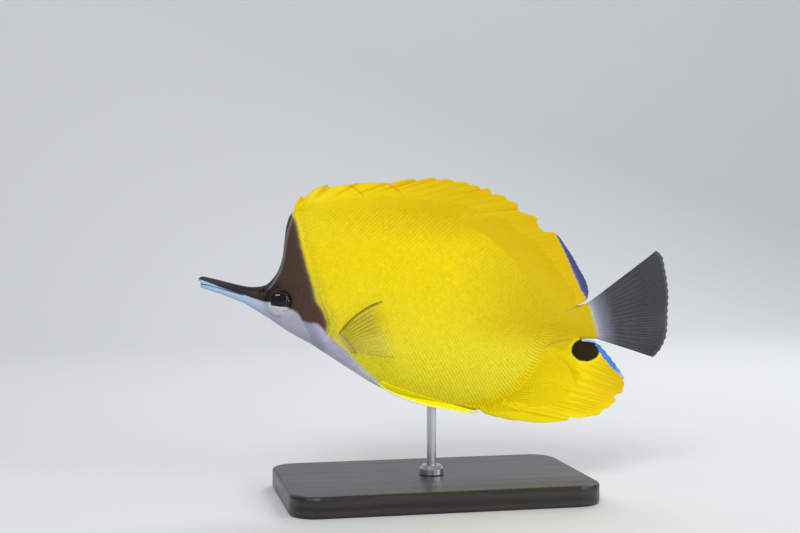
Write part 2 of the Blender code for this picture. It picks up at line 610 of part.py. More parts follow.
def pectoral_fins(reach, collection):
    """A fan on each flank: it leaves the skin face to face, flares from it with a slight camber, and its
    upper rays bend back."""
    share, crest = ray_columns(PECTORAL_RAYS)
    columns, rows = len(share), FAN_ROWS
    s = np.linspace(0, 1, rows)
    root = along_length(PECTORAL_ROOT, share)
    knots = np.linspace(0, 1, len(PECTORAL_LENGTHS))
    leaves = np.radians(np.interp(share, knots, PECTORAL_LEAVES))
    bends = np.radians(np.interp(share, knots, PECTORAL_BENDS))
    length = np.interp(share, knots, PECTORAL_LENGTHS) / (rows - 1)
    heading = leaves[:, None] + bends[:, None] * (s[None, 1:] - 0.5 / (rows - 1))
    back, up = (np.hstack([np.zeros((columns, 1)), np.cumsum(length[:, None] * way(heading), axis=1)])
                for way in (np.cos, np.sin))
    flare = math.radians(PECTORAL_FLARE)
    out = np.array([reach(x, z) for x, z in root])
    y = out[:, None] + PARTING + back * math.sin(flare) + PECTORAL_CAMBER * np.sin(np.pi * s)[None, :]
    middle = np.stack([root[:, :1] + back * math.cos(flare), -y, root[:, 1:] + up], -1)
    half = MEMBRANE_HALF + (PECTORAL_ROOT_HALF - MEMBRANE_HALF) * (1 - s[None, :]) ** 4
    half = half + PECTORAL_RAY_SHARE * RAY_RISE * crest[:, None] * ray_taper(s)[None, :]
    offset = np.stack([-half * math.sin(flare), -half * math.cos(flare), np.zeros_like(half)], -1)
    # At the root both faces end on the flank, so that the fin's end lies flat against it.
    slide = PECTORAL_ROOT_HALF / math.sin(flare)
    ahead, behind = (np.array([(x + way * slide, -(reach(x + way * slide, z) + PARTING), z) for x, z in root])
                     for way in (-1, 1))
    middle[:, 0] = (ahead + behind) / 2
    offset[:, 0] = (ahead - behind) / 2
    left = sheet("pectoral_fin_left", middle, offset, "clear_fin", collection)
    mirrored(left, "pectoral_fin_right", collection)


def pelvic_fins(reach, collection):
    """A narrow fin each side, folded back against the belly with its spine lowest; its spine and its last ray
    end in two points, with a notch between them."""
    columns, rows = 9, 2 * PELVIC_RAYS + 1
    share, s = np.linspace(0, 1, columns), np.linspace(0, 1, rows)
    spine = along(PELVIC_SPINE, share * (len(PELVIC_SPINE) - 1))
    top = along(PELVIC_TOP, share * (len(PELVIC_TOP) - 1))
    side = spine[:, None] + (top - spine)[:, None] * s[None, :, None]
    side[..., 0] -= PELVIC_NOTCH * (share ** 6)[:, None] * np.sin(np.pi * s)[None, :]
    rays = (np.arange(rows) % 2 == 0)[None, :]
    half = PELVIC_HALF + PELVIC_RAY_SHARE * RAY_RISE * rays * (1 - 0.5 * share)[:, None]
    flank = np.array([[max(reach(*place), PELVIC_SPREAD) for place in column] for column in side])
    middle = np.stack([side[..., 0], -(flank + PELVIC_CLEARANCE + half), side[..., 1]], -1)
    offset = np.stack([np.zeros_like(half), -half, np.zeros_like(half)], -1)
    left = sheet("pelvic_fin_left", middle, offset, "yellow_skin", collection)
    mirrored(left, "pelvic_fin_right", collection)


def stand(top_of_rod, collection):
    """A low block with rounded corners, the rod that rises from it, and a collar round the rod's foot."""
    shape = bmesh.new()
    size = Matrix.Diagonal((BASE_LENGTH * MM, BASE_DEPTH * MM, BASE_HEIGHT * MM, 1))
    bmesh.ops.create_cube(shape, size=1, matrix=Matrix.Translation((0, 0, BASE_HEIGHT / 2 * MM)) @ size)
    upright = [edge for edge in shape.edges if abs(edge.verts[0].co.z - edge.verts[1].co.z) > MM]
    bmesh.ops.bevel(shape, geom=upright, offset=BASE_CORNER * MM, segments=6, profile=0.5, affect="EDGES")
    mesh = bpy.data.meshes.new("stand_base")
    shape.to_mesh(mesh)
    shape.free()
    finish(mesh, "black_wood")
    block = bpy.data.objects.new("stand_base", mesh)
    collection.objects.link(block)
    edge = block.modifiers.new("edge", "BEVEL")
    edge.width = BASE_EDGE * MM
    edge.segments = 2
    edge.limit_method = "ANGLE"
    edge.angle_limit = math.radians(60)

    foot = BASE_HEIGHT + PARTING
    shape = bmesh.new()
    bmesh.ops.create_cone(shape, cap_ends=True, segments=20, radius1=ROD_RADIUS * MM, radius2=ROD_RADIUS * MM,
                          depth=(top_of_rod - foot) * MM,
                          matrix=Matrix.Translation((0, 0, (top_of_rod + foot) / 2 * MM)))
    mesh = bpy.data.meshes.new("stand_rod")
    shape.to_mesh(mesh)
    shape.free()
    finish(mesh, "steel")
    collection.objects.link(bpy.data.objects.new("stand_rod", mesh))

    inner = ROD_RADIUS + PARTING
    collar = ((inner, foot + COLLAR_HEIGHT), (0.75 * COLLAR_RADIUS, foot + COLLAR_HEIGHT),
              (COLLAR_RADIUS, foot + 0.6 * COLLAR_HEIGHT), (COLLAR_RADIUS, foot), (inner, foot),
              (inner, foot + COLLAR_HEIGHT))
    turned("stand_collar", collar, 24, "steel", collection)


def main():
    clear_scene()
    fish = collection_named("longnose_butterflyfish")
    jaws_and_snout(fish)
    head_and_gills(fish)
    eyes(fish)
    reach = skin_reader([trunk_and_stem(fish)])
    spiny_fin("dorsal_fin_spiny", DORSAL_SPINES, DORSAL_FRONT, DORSAL_CLOSE, 1.0, fish)
    soft_fin("dorsal_fin_soft", DORSAL_SOFT_RAYS, DORSAL_SOFT_BASE, DORSAL_SOFT_EDGE, 1.0, fish)
    spiny_fin("anal_fin_spiny", ANAL_SPINES, ANAL_FRONT, ANAL_CLOSE, 0.0, fish)
    soft_fin("anal_fin_soft", ANAL_SOFT_RAYS, ANAL_SOFT_BASE, ANAL_SOFT_EDGE, 0.0, fish)
    tail_fin(fish)
    pectoral_fins(reach, fish)
    pelvic_fins(reach, fish)

    # The pose: nose up about the rod, with the lowest fin edge a set height above the floor
    tip = Matrix.Rotation(math.radians(NOSE_UP), 4, "Y")
    keel_z = float(rib_point(rib_at_x(ROD_X, 0), 0.0)[1])
    rod_foot = tip @ Vector((ROD_X * MM, 0, keel_z * MM))
    lowest = min((tip @ v.co).z for piece in fish.objects for v in piece.data.vertices)
    lift = FLOOR_CLEARANCE * MM - lowest
    pose = bpy.data.objects.new("fish_pose", None)
    fish.objects.link(pose)
    pose.rotation_euler = (0, math.radians(NOSE_UP), 0)
    pose.location = (-rod_foot.x, 0, lift)
    for piece in list(fish.objects):
        if piece is not pose:
            piece.parent = pose
    stand((rod_foot.z + lift) / MM + ROD_REACH, fish)


main()
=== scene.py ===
"""Finish of a life-size longnose butterflyfish model: skin, scales, eyes, fins and stand over its solids.

Sizes are in millimetres in the fish's own frame: x runs from the tip of the snout to the tail, z is up, and
the left side lies at negative y. Each finished mesh is carried to the stand, in metres, by its points."""
import math
import bpy
import numpy as np
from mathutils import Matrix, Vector


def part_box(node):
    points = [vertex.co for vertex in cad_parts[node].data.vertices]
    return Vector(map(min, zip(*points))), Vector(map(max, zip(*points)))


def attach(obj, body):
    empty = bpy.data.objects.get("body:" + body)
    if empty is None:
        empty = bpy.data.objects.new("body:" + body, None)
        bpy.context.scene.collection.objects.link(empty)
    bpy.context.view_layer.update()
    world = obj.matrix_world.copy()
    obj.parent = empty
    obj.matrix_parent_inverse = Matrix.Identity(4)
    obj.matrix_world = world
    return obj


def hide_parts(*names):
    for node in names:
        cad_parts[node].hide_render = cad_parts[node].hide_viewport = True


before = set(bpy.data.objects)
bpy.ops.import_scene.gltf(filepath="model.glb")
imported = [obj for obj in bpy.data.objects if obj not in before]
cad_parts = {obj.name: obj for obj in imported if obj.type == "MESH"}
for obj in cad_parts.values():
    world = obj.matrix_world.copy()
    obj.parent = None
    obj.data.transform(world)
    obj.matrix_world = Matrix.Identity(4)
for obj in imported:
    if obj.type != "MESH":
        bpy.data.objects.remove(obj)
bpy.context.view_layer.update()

# The pose. The model is tipped nose-up by a few degrees and its belly sits on the rod, whose last 7 mm run up
# into it. Every point worked out in the fish's frame is carried here by the same turn and shift.
NOSE_UP = math.radians(6.4)
ROD_AT_KEEL = np.array((83.0, 0.0, -33.2))
ROD_REACH = 7.0
TIP = np.array(((math.cos(NOSE_UP), 0, math.sin(NOSE_UP)), (0, 1, 0),
                (-math.sin(NOSE_UP), 0, math.cos(NOSE_UP))))
rod_low, rod_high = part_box("stand_rod")
SHIFT = np.array(((rod_low[0] + rod_high[0]) * 500, 0, rod_high[2] * 1000 - ROD_REACH)) - TIP @ ROD_AT_KEEL


def on_stand(points):
    """Points of the fish's frame turned nose-up, moved onto the rod and given in metres."""
    return (np.asarray(points, float) @ TIP.T + SHIFT) / 1000


# The camera stands a little in front of the fish's left side, level with it, and looks at the middle of the
# body. Its long lens keeps snout and tail in their true proportions.
VIEW_TARGET = (66.9, 0.0, 11.8)
VIEW_AZIMUTH, VIEW_HEIGHT = math.radians(-12), math.radians(2)
VIEW_DISTANCE, VIEW_LENS, SENSOR_WIDTH = 0.4517, 60.0, 36.0
towards_camera = Vector((math.sin(VIEW_AZIMUTH) * math.cos(VIEW_HEIGHT),
                         -math.cos(VIEW_AZIMUTH) * math.cos(VIEW_HEIGHT), math.sin(VIEW_HEIGHT)))
camera = bpy.data.objects.new("camera", bpy.data.cameras.new("camera"))
camera.data.lens = VIEW_LENS
camera.data.sensor_width = SENSOR_WIDTH
camera.location = Vector(on_stand(VIEW_TARGET)) + towards_camera * VIEW_DISTANCE
camera.rotation_euler = towards_camera.to_track_quat("Z", "Y").to_euler()
bpy.context.scene.collection.objects.link(camera)
bpy.context.scene.camera = camera


# The studio: one pale sweep of paper that is floor in front and wall behind, a broad key light high on the
# camera's left, a fill on its right, and a weaker light from behind that shines through the fins.
def make_mesh(name, points, faces, metres=False):
    """A mesh object from an array of points and an array, or a list of arrays, of faces with equal corner
    counts. Faces of a closed surface are turned outwards where their signed volume comes out negative."""
    points = np.asarray(points, float).reshape(-1, 3)
    groups = faces if isinstance(faces, list) else [faces]
    volume = 0.0
    for group in groups:
        a = points[group[:, 0]]
        for k in range(1, group.shape[1] - 1):
            volume += np.einsum("ij,ij->i", a, np.cross(points[group[:, k]], points[group[:, k + 1]])).sum()
    if volume < 0:
        groups = [group[:, ::-1] for group in groups]
    if not metres:
        points = on_stand(points)
    mesh = bpy.data.meshes.new(name)
    corners = np.concatenate([group.ravel() for group in groups])
    counts = np.concatenate([np.full(len(group), group.shape[1]) for group in groups])
    mesh.vertices.add(len(points))
    mesh.vertices.foreach_set("co", points.astype(np.float32).ravel())
    mesh.loops.add(len(corners))
    mesh.loops.foreach_set("vertex_index", corners.astype(np.int32))
    mesh.polygons.add(len(counts))
    mesh.polygons.foreach_set("loop_start", (np.cumsum(counts) - counts).astype(np.int32))
    mesh.polygons.foreach_set("loop_total", counts.astype(np.int32))
    mesh.update(calc_edges=True)
    mesh.validate()
    mesh.shade_smooth()
    piece = bpy.data.objects.new(name, mesh)
    bpy.context.scene.collection.objects.link(piece)
    return piece


def grid_faces(columns, rows, wrap=False):
    """The quads of a columns by rows grid, numbered along the rows; wrap joins the last row to the first."""
    i, j = np.meshgrid(np.arange(columns - 1), np.arange(rows if wrap else rows - 1), indexing="ij")
    k = (j + 1) % rows
    return np.stack([i * rows + j, (i + 1) * rows + j, (i + 1) * rows + k, i * rows + k], -1).reshape(-1, 4)


class Finish:
    """A material with one Principled shader; its plain inputs are given with its name. Each call adds a node
    and gives back its output."""

    def __init__(self, name, **plain):
        self.material = bpy.data.materials.new(name)
        self.material.use_nodes = True
        self.tree = self.material.node_tree
        self.shader = self.tree.nodes["Principled BSDF"]
        self.set(self.shader, plain)

    def set(self, node, values):
        """Gives a node's inputs their values, or links those that are another node's output."""
        for key, value in values.items():
            socket = node.inputs[key.replace("_", " ") if isinstance(key, str) else key]
            if isinstance(value, bpy.types.NodeSocket):
                self.tree.links.new(value, socket)
            else:
                socket.default_value = value

    def add(self, kind, values=(), out=0, **settings):
        """A new node with its input values and settings."""
        node = self.tree.nodes.new("ShaderNode" + kind)
        for key, value in settings.items():
            setattr(node, key, value)
        self.set(node, dict(values))
        return node.outputs[out]

    def math(self, operation, *values, clamp=False):
        """One step of arithmetic on the values."""
        return self.add("Math", enumerate(values), operation=operation, use_clamp=clamp)

    def plus(self, first, second):
        return self.math("ADD", first, second)

    def minus(self, first, second):
        return self.math("SUBTRACT", first, second)

    def times(self, first, second):
        return self.math("MULTIPLY", first, second)

    def larger(self, first, second):
        return self.math("MAXIMUM", first, second)

    def mix(self, share, first, second, blend="MIX"):
        """The first colour at share 0 and the second at share 1."""
        return self.add("Mix", {0: share, 6: first, 7: second}, out=2, data_type="RGBA", blend_type=blend)

    def step(self, value, start, end, low=0.0, high=1.0):
        """A smooth rise of value from low at start to high at end."""
        values = enumerate((value, start, end, low, high))
        return self.add("MapRange", values, interpolation_type="SMOOTHSTEP")

    def curve(self, value, points, start, end, low, high):
        """A smooth curve through points whose first numbers lie from start to end, the others low to high."""
        node = self.tree.nodes.new("ShaderNodeFloatCurve")
        line = node.mapping.curves[0]
        places = [((a - start) / (end - start), (b - low) / (high - low)) for a, b in points]
        while len(line.points) < len(places):
            line.points.new(0.5, 0.5)
        for point, place in zip(line.points, sorted(places)):
            point.location = place
        node.mapping.update()
        self.set(node, {1: self.add("MapRange", enumerate((value, start, end, 0.0, 1.0)))})
        return self.add("MapRange", enumerate((node.outputs[0], 0.0, 1.0, low, high)))

    def noise(self, place, scale, detail=2.0, roughness=0.5):
        """Soft noise from 0 to 1: scale lumps to the unit, and finer layers, each weaker by roughness."""
        values = {"Vector": place, "Scale": scale, "Detail": detail, "Roughness": roughness}
        return self.add("TexNoise", values)

    def bump(self, height, distance, strength=1.0):
        """The surface's normal, tilted as if its height rose by the distance, in metres."""
        return self.add("Bump", {"Height": height, "Distance": distance, "Strength": strength})

    def split(self, vector):
        """The three parts of a vector."""
        return self.add("SeparateXYZ", {0: vector}).node.outputs

    def marks(self, name):
        """The three parts of a vector attribute."""
        return self.split(self.add("Attribute", out=1, attribute_name=name))

    def wear(self, piece):
        """Makes this the one material of a piece."""
        piece.data.materials.clear()
        piece.data.materials.append(self.material)


def paint(red, green, blue):
    """A colour given as seen, 0 to 255 a channel, in the linear values that shaders take."""
    seen = np.array((red, green, blue)) / 255
    return (*np.where(seen <= 0.04045, seen / 12.92, ((seen + 0.055) / 1.055) ** 2.4).tolist(), 1.0)


FLOOR_FRONT, FLOOR_BACK, SWEEP_RADIUS, WALL_TOP, SWEEP_HALF = -1.6, 0.55, 0.5, 2.4, 2.6
turn = np.linspace(0, np.pi / 2, 24)
bend = np.stack([FLOOR_BACK + SWEEP_RADIUS * np.sin(turn), SWEEP_RADIUS * (1 - np.cos(turn))], -1)
sweep = np.vstack([(FLOOR_FRONT, 0.0), bend, (FLOOR_BACK + SWEEP_RADIUS, WALL_TOP)])
across = np.linspace(-SWEEP_HALF, SWEEP_HALF, 5)
points = np.stack(np.broadcast_arrays(across[:, None], *sweep.T), -1)
backdrop = make_mesh("backdrop", points, grid_faces(len(across), len(sweep))[:, ::-1], metres=True)
paper = Finish("pale_paper", Base_Color=paint(236, 238, 240), Roughness=0.9)
paper.wear(backdrop)

for name, place, aim, size, power, tint in (
        ("key", (-0.42, -1.02, 0.92), (0, 0, 0.07), 0.6, 9.0, (1.0, 0.98, 0.95)),
        ("fill", (0.85, -0.80, 0.35), (0, 0, 0.07), 0.8, 5.2, (0.95, 0.98, 1.0)),
        ("through", (0.35, 0.45, 0.60), (0.02, 0, 0.08), 0.4, 2.0, (1.0, 1.0, 1.0))):
    lamp = bpy.data.objects.new(name, bpy.data.lights.new(name, "AREA"))
    lamp.data.shape = "DISK"
    lamp.data.size = size
    lamp.data.energy = power
    lamp.data.color = tint
    lamp.location = place
    lamp.rotation_euler = (Vector(place) - Vector(aim)).to_track_quat("Z", "Y").to_euler()
    bpy.context.scene.collection.objects.link(lamp)
world = bpy.data.worlds.new("room")
world.use_nodes = True
world.node_tree.nodes["Background"].inputs["Color"].default_value = (0.90, 0.95, 1.0, 1.0)
world.node_tree.nodes["Background"].inputs["Strength"].default_value = 0.34
bpy.context.scene.world = world
bpy.context.scene.view_settings.view_transform = "Standard"

# The body: one skin from the lips to the end of the tail stem, stretched over ribs that stand between the
# keel, the lower outline, and the ridge, the upper one. On the head it carries the folds of a thin skin over
# bone: parted lips, the line of the mouth, nostrils, the eye's rim, the cheek's edge and the gill flap.

# Each rib: keel x, keel z, ridge x, ridge z, half-width, height of the widest place, fullness, keel
# half-width, ridge half-width, bow towards the tail
RIBS = np.array([
    (0.9, -1.0, 0.0, 0.7, 0.75, 0.50, 0.50, 0.30, 0.30, 0.0),
    (1.3, -2.0, 1.2, 1.6, 1.60, 0.50, 0.50, 0.35, 0.35, 0.0),
    (4.2, -2.7, 4.2, 1.4, 1.30, 0.50, 0.50, 0.35, 0.35, 0.0),
    (9.3, -3.9, 9.3, 0.7, 1.70, 0.50, 0.50, 0.40, 0.40, 0.0),
    (15.6, -5.7, 15.4, -0.1, 2.30, 0.50, 0.50, 0.50, 0.40, 0.0),
    (19.5, -7.5, 19.0, 0.0, 2.90, 0.48, 0.52, 0.60, 0.45, 0.0),
    (23.2, -9.3, 22.3, 1.0, 3.70, 0.48, 0.55, 0.70, 0.50, 0.0),
    (26.6, -11.1, 24.4, 3.3, 4.60, 0.48, 0.58, 0.80, 0.50, 0.0),
    (30.0, -13.0, 25.9, 6.3, 5.40, 0.46, 0.60, 0.90, 0.55, 0.2),
    (33.6, -14.7, 26.8, 10.5, 6.20, 0.42, 0.62, 1.00, 0.60, 0.6),
    (37.2, -16.2, 26.9, 15.8, 7.00, 0.38, 0.64, 1.10, 0.70, 1.2),
    (40.0, -17.4, 27.0, 21.0, 7.70, 0.37, 0.66, 1.10, 0.80, 2.0),
    (42.8, -18.9, 28.3, 25.6, 8.40, 0.38, 0.68, 1.20, 1.00, 2.6),
    (47.5, -21.3, 32.5, 28.0, 9.20, 0.40, 0.70, 1.20, 1.20, 2.0),
    (54.5, -24.9, 41.0, 30.2, 9.80, 0.42, 0.70, 1.30, 1.30, 1.0),
    (62.5, -28.8, 52.0, 32.1, 10.00, 0.44, 0.70, 1.40, 1.30, 0.4),
    (72.0, -31.9, 64.0, 33.0, 9.90, 0.45, 0.70, 1.50, 1.30, 0.0),
    (83.0, -33.2, 77.0, 32.7, 9.20, 0.46, 0.72, 1.50, 1.30, 0.0),
    (94.0, -34.3, 89.5, 29.9, 8.00, 0.48, 0.74, 1.30, 1.30, 0.0),
    (104.5, -33.2, 99.5, 25.2, 6.60, 0.50, 0.76, 1.20, 1.20, 0.0),
    (114.0, -27.6, 108.5, 19.0, 5.30, 0.52, 0.76, 1.10, 1.10, 0.0),
    (119.3, -19.3, 116.0, 12.6, 4.40, 0.52, 0.74, 1.00, 1.00, 0.0),
    (122.8, -11.2, 122.5, 7.6, 3.70, 0.52, 0.70, 0.90, 0.90, 0.0),
    (129.0, -7.4, 128.8, 4.6, 3.00, 0.50, 0.64, 0.80, 0.80, 0.0),
    (139.5, -6.0, 134.8, 5.9, 1.90, 0.50, 0.60, 0.70, 0.70, 0.5),
])
JAW_ROOT, GILL_RIB, VENT_RIB, STEM_END = 4.0, 12.0, 18.0, 24.0
COLUMNS_BETWEEN_RIBS = (14, 14, 14, 16, 20, 30, 24, 22, 20, 20, 18, 24, 24, 20, 16, 16, 16, 16, 14, 14, 12,
                        12, 10, 12)
SKIN_ROWS = 108
EYE_X, EYE_Z = 27.4, -3.8
EYE_RIM, ORBIT_RADIUS, ORBIT_FOOT, ORBIT_EDGE, SOCKET_FLOOR = 3.5, 4.9, 3.4, 5.1, 3.2
NOSTRILS = ((20.3, -1.2, 0.30), (21.4, -0.9, 0.38))
MOUTH_RIBS, MOUTH_HEIGHTS, JAW_CORNER = (0, 1, JAW_ROOT), (0.36, 0.33, 0.45), (15.8, -3.2)
GILL_EDGE = ((38.0, 1.6), (39.0, -1.0), (40.5, -4.0), (42.2, -7.2), (43.2, -10.0), (43.2, -12.8),
             (42.0, -15.6), (40.2, -17.6))
CHEEK_EDGE = ((34.4, 2.6), (33.2, -1.0), (32.9, -4.6), (33.6, -7.5), (35.2, -10.2), (36.6, -12.3),
              (38.3, -15.0), (40.2, -17.8))
SCALE_BED = 0.10


def along(points, u):
    """Points at the parameters u on a Catmull-Rom curve through the given points, one unit apart."""
    knots = np.asarray(points, float)
    knots = np.vstack([2 * knots[0] - knots[1], knots, 2 * knots[-1] - knots[-2]])
    u = np.asarray(u, float)
    start = np.clip(np.floor(u).astype(int), 0, len(knots) - 4)
    f = (u - start)[..., None]
    a, b, c, d = (knots[start + i] for i in range(4))
    return 0.5 * (2 * b + (c - a) * f + (2 * a - 5 * b + 4 * c - d) * f ** 2
                  + (3 * b - a - 3 * c + d) * f ** 3)


def ease(value, start, end):
    """A smooth rise from 0 at start to 1 at end."""
    f = np.clip((value - start) / (end - start), 0, 1)
    return f * f * (3 - 2 * f)


def rounded(distance, radius, least=0.0):
    """The share of its full thickness that a rounded edge has at a distance from it: a quarter circle that
    rises from the edge, or from the least share, to 1 at the radius."""
    return np.sqrt(np.clip(1 - (1 - np.clip(distance / radius, 0, 1)) ** 2, least, 1))


def rib_point(u, t):
    """The plain body at rib u and height t, 0 at the keel and 1 at the ridge: x, z and half-width. The
    half-width follows a power of a parabola, skewed so that it peaks at the rib's widest place; the rib bows
    by a sine."""
    row = along(RIBS, u)
    keel, ridge = row[..., 0:2], row[..., 2:4]
    half, widest, fullness, keel_half, ridge_half, bow = (row[..., k] for k in range(4, 10))
    lean = np.clip(t, 0, 1) ** (math.log(0.5) / np.log(widest))
    swell = (1 - np.abs(2 * lean - 1) ** 2) ** fullness
    edge = keel_half + (ridge_half - keel_half) * t
    width = edge + (half - edge) * swell
    length = np.linalg.norm(ridge - keel, axis=-1)
    across = (ridge - keel) / length[..., None]
    side = keel + (ridge - keel) * t[..., None]
    side = side + (bow * np.sin(np.pi * np.sqrt(np.clip(t, 0, 1))))[..., None] * np.stack(
        [across[..., 1], -across[..., 0]], -1)
    # Free edges are rounded over; those that carry a fin stay square under its foot.
    round_keel = 1 - ease(u, VENT_RIB - 0.5, VENT_RIB + 0.3) + ease(u, 23.1, 23.5)
    round_ridge = 1 - ease(u, GILL_RIB + 0.5, GILL_RIB + 1.4) + ease(u, 22.9, 23.3)
    edges = ((t * length, keel_half, round_keel), ((1 - t) * length, ridge_half, round_ridge))
    for distance, radius, share in edges:
        width = width * (1 - share * (1 - rounded(distance, radius)))
    return side[..., 0], side[..., 1], width, length


def signed_gap(x, z, edge):
    """How far behind a curve that runs down the side view a point lies, level with it."""
    edge = np.array(edge)[::-1]
    return x - np.interp(z, edge[:, 1], edge[:, 0])


def skin_point(u, t):
    """The dressed skin's left side: the rib's half-width plus the relief of mouth, lips, nostrils, orbit,
    cheek and gill flap, each a function of the distance from its own line or centre."""
    x, z, half, length = rib_point(u, t)
    inner = ease(np.minimum(t, 1 - t) * length, 0.2, 2.2)
    # The mouth: a narrow cleft from the parted lips to the corner of the jaws, a swollen lip on either side
    mouth = (t - np.interp(u, MOUTH_RIBS, MOUTH_HEIGHTS)) * length
    open_jaws = 1 - ease(u, JAW_ROOT - 0.25, JAW_ROOT + 0.05)
    cleft = np.exp(-(mouth / (0.10 + 0.12 * (1 - ease(u, 0.6, 2.0)))) ** 2) * open_jaws
    lip = np.exp(-((np.abs(mouth) - 0.5) / 0.34) ** 2) * (1 - ease(u, 0.9, 2.2))
    half = half * (1 - 0.86 * cleft) + 0.16 * lip * np.minimum(1, half)
    x = x + 1.0 * np.exp(-(mouth / 0.35) ** 2) * (1 - ease(u, 0.0, 1.1))
    corner = np.hypot(x - JAW_CORNER[0], (z - JAW_CORNER[1]) * 0.5)
    half = half - 0.35 * np.exp(-(corner / 0.28) ** 2)
    # The orbit: a rounded rim that stands off the head, and a socket that dives under the eye
    reach = np.hypot(x - EYE_X, z - EYE_Z)
    rise = np.clip((reach - EYE_RIM) / (ORBIT_RADIUS + 0.3 - EYE_RIM), 0, 1)
    orbit = ORBIT_FOOT + (ORBIT_EDGE - ORBIT_FOOT) * np.sqrt(1 - rise ** 2)
    orbit = orbit - 6 * np.clip(reach - ORBIT_RADIUS - 0.3, 0, 9)
    half = np.where(reach < ORBIT_RADIUS + 2.0, np.log(np.exp(5 * half) + np.exp(5 * orbit)) / 5, half)
    dive = ease(reach, EYE_RIM + 0.05, EYE_RIM - 0.6)
    half = half * (1 - dive) + SOCKET_FLOOR * dive
    half = half - 0.07 * np.exp(-((reach - EYE_RIM - 0.55) / 0.14) ** 2)
    for nostril_x, nostril_z, radius in NOSTRILS:
        apart = np.hypot(x - nostril_x, z - nostril_z)
        half = half + 0.14 * np.exp(-((apart - radius - 0.12) / 0.14) ** 2)
        half = half - 0.7 * ease(apart, radius, radius * 0.4)
    # The cheek's rear edge is a low step; the gill flap's is a free edge over a groove
    cheek = signed_gap(x, z, CHEEK_EDGE)
    span = ease(z, -18.2, -15.5) * ease(z, 4.0, 1.0) * inner
    half = half + span * (0.22 * np.where(cheek < 0, np.exp(-(cheek / 2.6) ** 2), np.exp(-(cheek / 0.3) ** 2))
                          - 0.16 * np.exp(-((cheek - 0.35) / 0.28) ** 2))
    gill = signed_gap(x, z, GILL_EDGE)
    span = ease(z, -16.0, -11.5) * ease(z, 2.6, -0.5) * inner
    half = half + span * (0.42 * np.where(gill < 0, np.exp(-(gill / 3.4) ** 2), np.exp(-(gill / 0.16) ** 2))
                          - 0.42 * np.exp(-((gill - 0.42) / 0.34) ** 2) * (gill > 0))
    half = half - SCALE_BED * ease(u, 4.9, 5.6)
    return np.stack([x, -np.maximum(half, 0.0), z], -1)


def closed_tube(name, rings, start, end):
    """A closed mesh from rings of points, with a fan of triangles to a pole at either end."""
    columns, around = rings.shape[:2]
    first, last = columns * around, columns * around + 1
    j = np.arange(around)
    rear = (columns - 1) * around
    start_fan = np.stack([np.full(around, first), j, (j + 1) % around], -1)
    end_fan = np.stack([np.full(around, last), rear + (j + 1) % around, rear + j], -1)
    points = np.vstack([rings.reshape(-1, 3), start, end])
    return make_mesh(name, points, [grid_faces(columns, around, wrap=True)[:, ::-1], start_fan, end_fan])


shares = [np.linspace(i, i + 1, n, endpoint=False) for i, n in enumerate(COLUMNS_BETWEEN_RIBS)]
skin_u = np.concatenate(shares + [[STEM_END]])
skin_t = (1 - np.cos(np.linspace(0, np.pi, SKIN_ROWS))) / 2
skin_u2, skin_t2 = np.meshgrid(skin_u, skin_t, indexing="ij")
left = skin_point(skin_u2, skin_t2)
ring = np.concatenate([left, (left * (1, -1, 1))[:, ::-1]], axis=1)
skin = closed_tube("skin", ring, ring[0].mean(axis=0) + (0.25, 0, 0), ring[-1].mean(axis=0))


# The markings, shared by the skin, the scales and the fins. They are worked out from the place on the fish:
# a brown mask over the upper head, a pale lower jaw, cheek and chest below it, and lemon yellow behind both.
MASK_REAR = ((42.6, -15.0), (42.9, -12.1), (42.9, -9.4), (42.2, -7.8), (40.6, -5.2), (38.2, -2.1),
             (36.9, 1.8), (35.4, 5.7), (33.4, 10.8), (31.7, 15.5), (30.5, 19.7), (29.2, 23.5), (28.2, 25.7),
             (28.0, 30.0))
BROW_LINE = ((21.8, -1.0), (22.7, -0.5), (23.9, 1.1), (25.0, 2.9), (25.8, 4.7), (26.4, 6.6), (26.9, 9.8),
             (27.1, 13.8), (27.3, 17.9), (28.6, 24.4))
GOLD_FRONT = ((86.2, -34.9), (96.5, -31.3), (106.8, -27.0), (113.2, -20.1), (118.1, -14.8), (121.4, -11.7))
PALE_TOP = ((0.0, 0.7), (2.0, 0.3), (5.8, -0.8), (8.2, -1.5), (12.7, -2.5), (15.4, -3.0), (19.0, -3.9),
            (22.6, -4.5), (23.7, -4.4), (24.8, -5.4), (30.4, -5.9), (32.6, -6.8), (34.0, -8.1), (35.2, -9.4),
            (37.0, -9.8), (39.4, -9.8), (41.2, -10.8), (43.0, -12.6), (46.2, -14.8), (50.0, -17.3),
            (55.4, -21.8), (59.2, -24.6), (62.9, -27.1), (66.0, -31.0), (68.0, -36.0))
# The low yellow is paler than the fish's own: a painted sheen and painted fill light against the shade below.
YELLOW, YELLOW_LOW_LIT, YELLOW_GREY = paint(245, 218, 0), paint(244, 230, 44), paint(190, 182, 60)
BROWN, BROWN_DEEP, BROWN_RED = paint(80, 61, 48), paint(50, 38, 34), paint(104, 60, 50)
SLATE, MAUVE = paint(44, 38, 42), paint(112, 102, 102)
# The low gold is lighter than the gold above it: painted fill light against the shade under body and fins.
GOLD, GOLD_LOW_LIT, CREASE_SHADE = paint(214, 183, 0), paint(247, 218, 0), paint(204, 152, 82)
# The crease colour and these two lines paint the shade of the two creases on the tail stem.
STEM_CREASE = ((119.8, -11.4), (121.9, -9.7), (126.1, -7.8), (130.7, -6.6))
BACK_CREASE = ((126.0, 2.6), (129.5, 3.8), (133.6, 5.3))
JAW_BLUE, CHEEK_GREY, CHEEK_BLUE = paint(168, 192, 218), paint(176, 176, 192), paint(158, 160, 182)
# The chest's mauve is its own colour, lightened with painted fill light against the shade under the head.
CHEST_MAUVE_LIT, CHEST_WHITE = paint(196, 190, 216), paint(232, 234, 226)


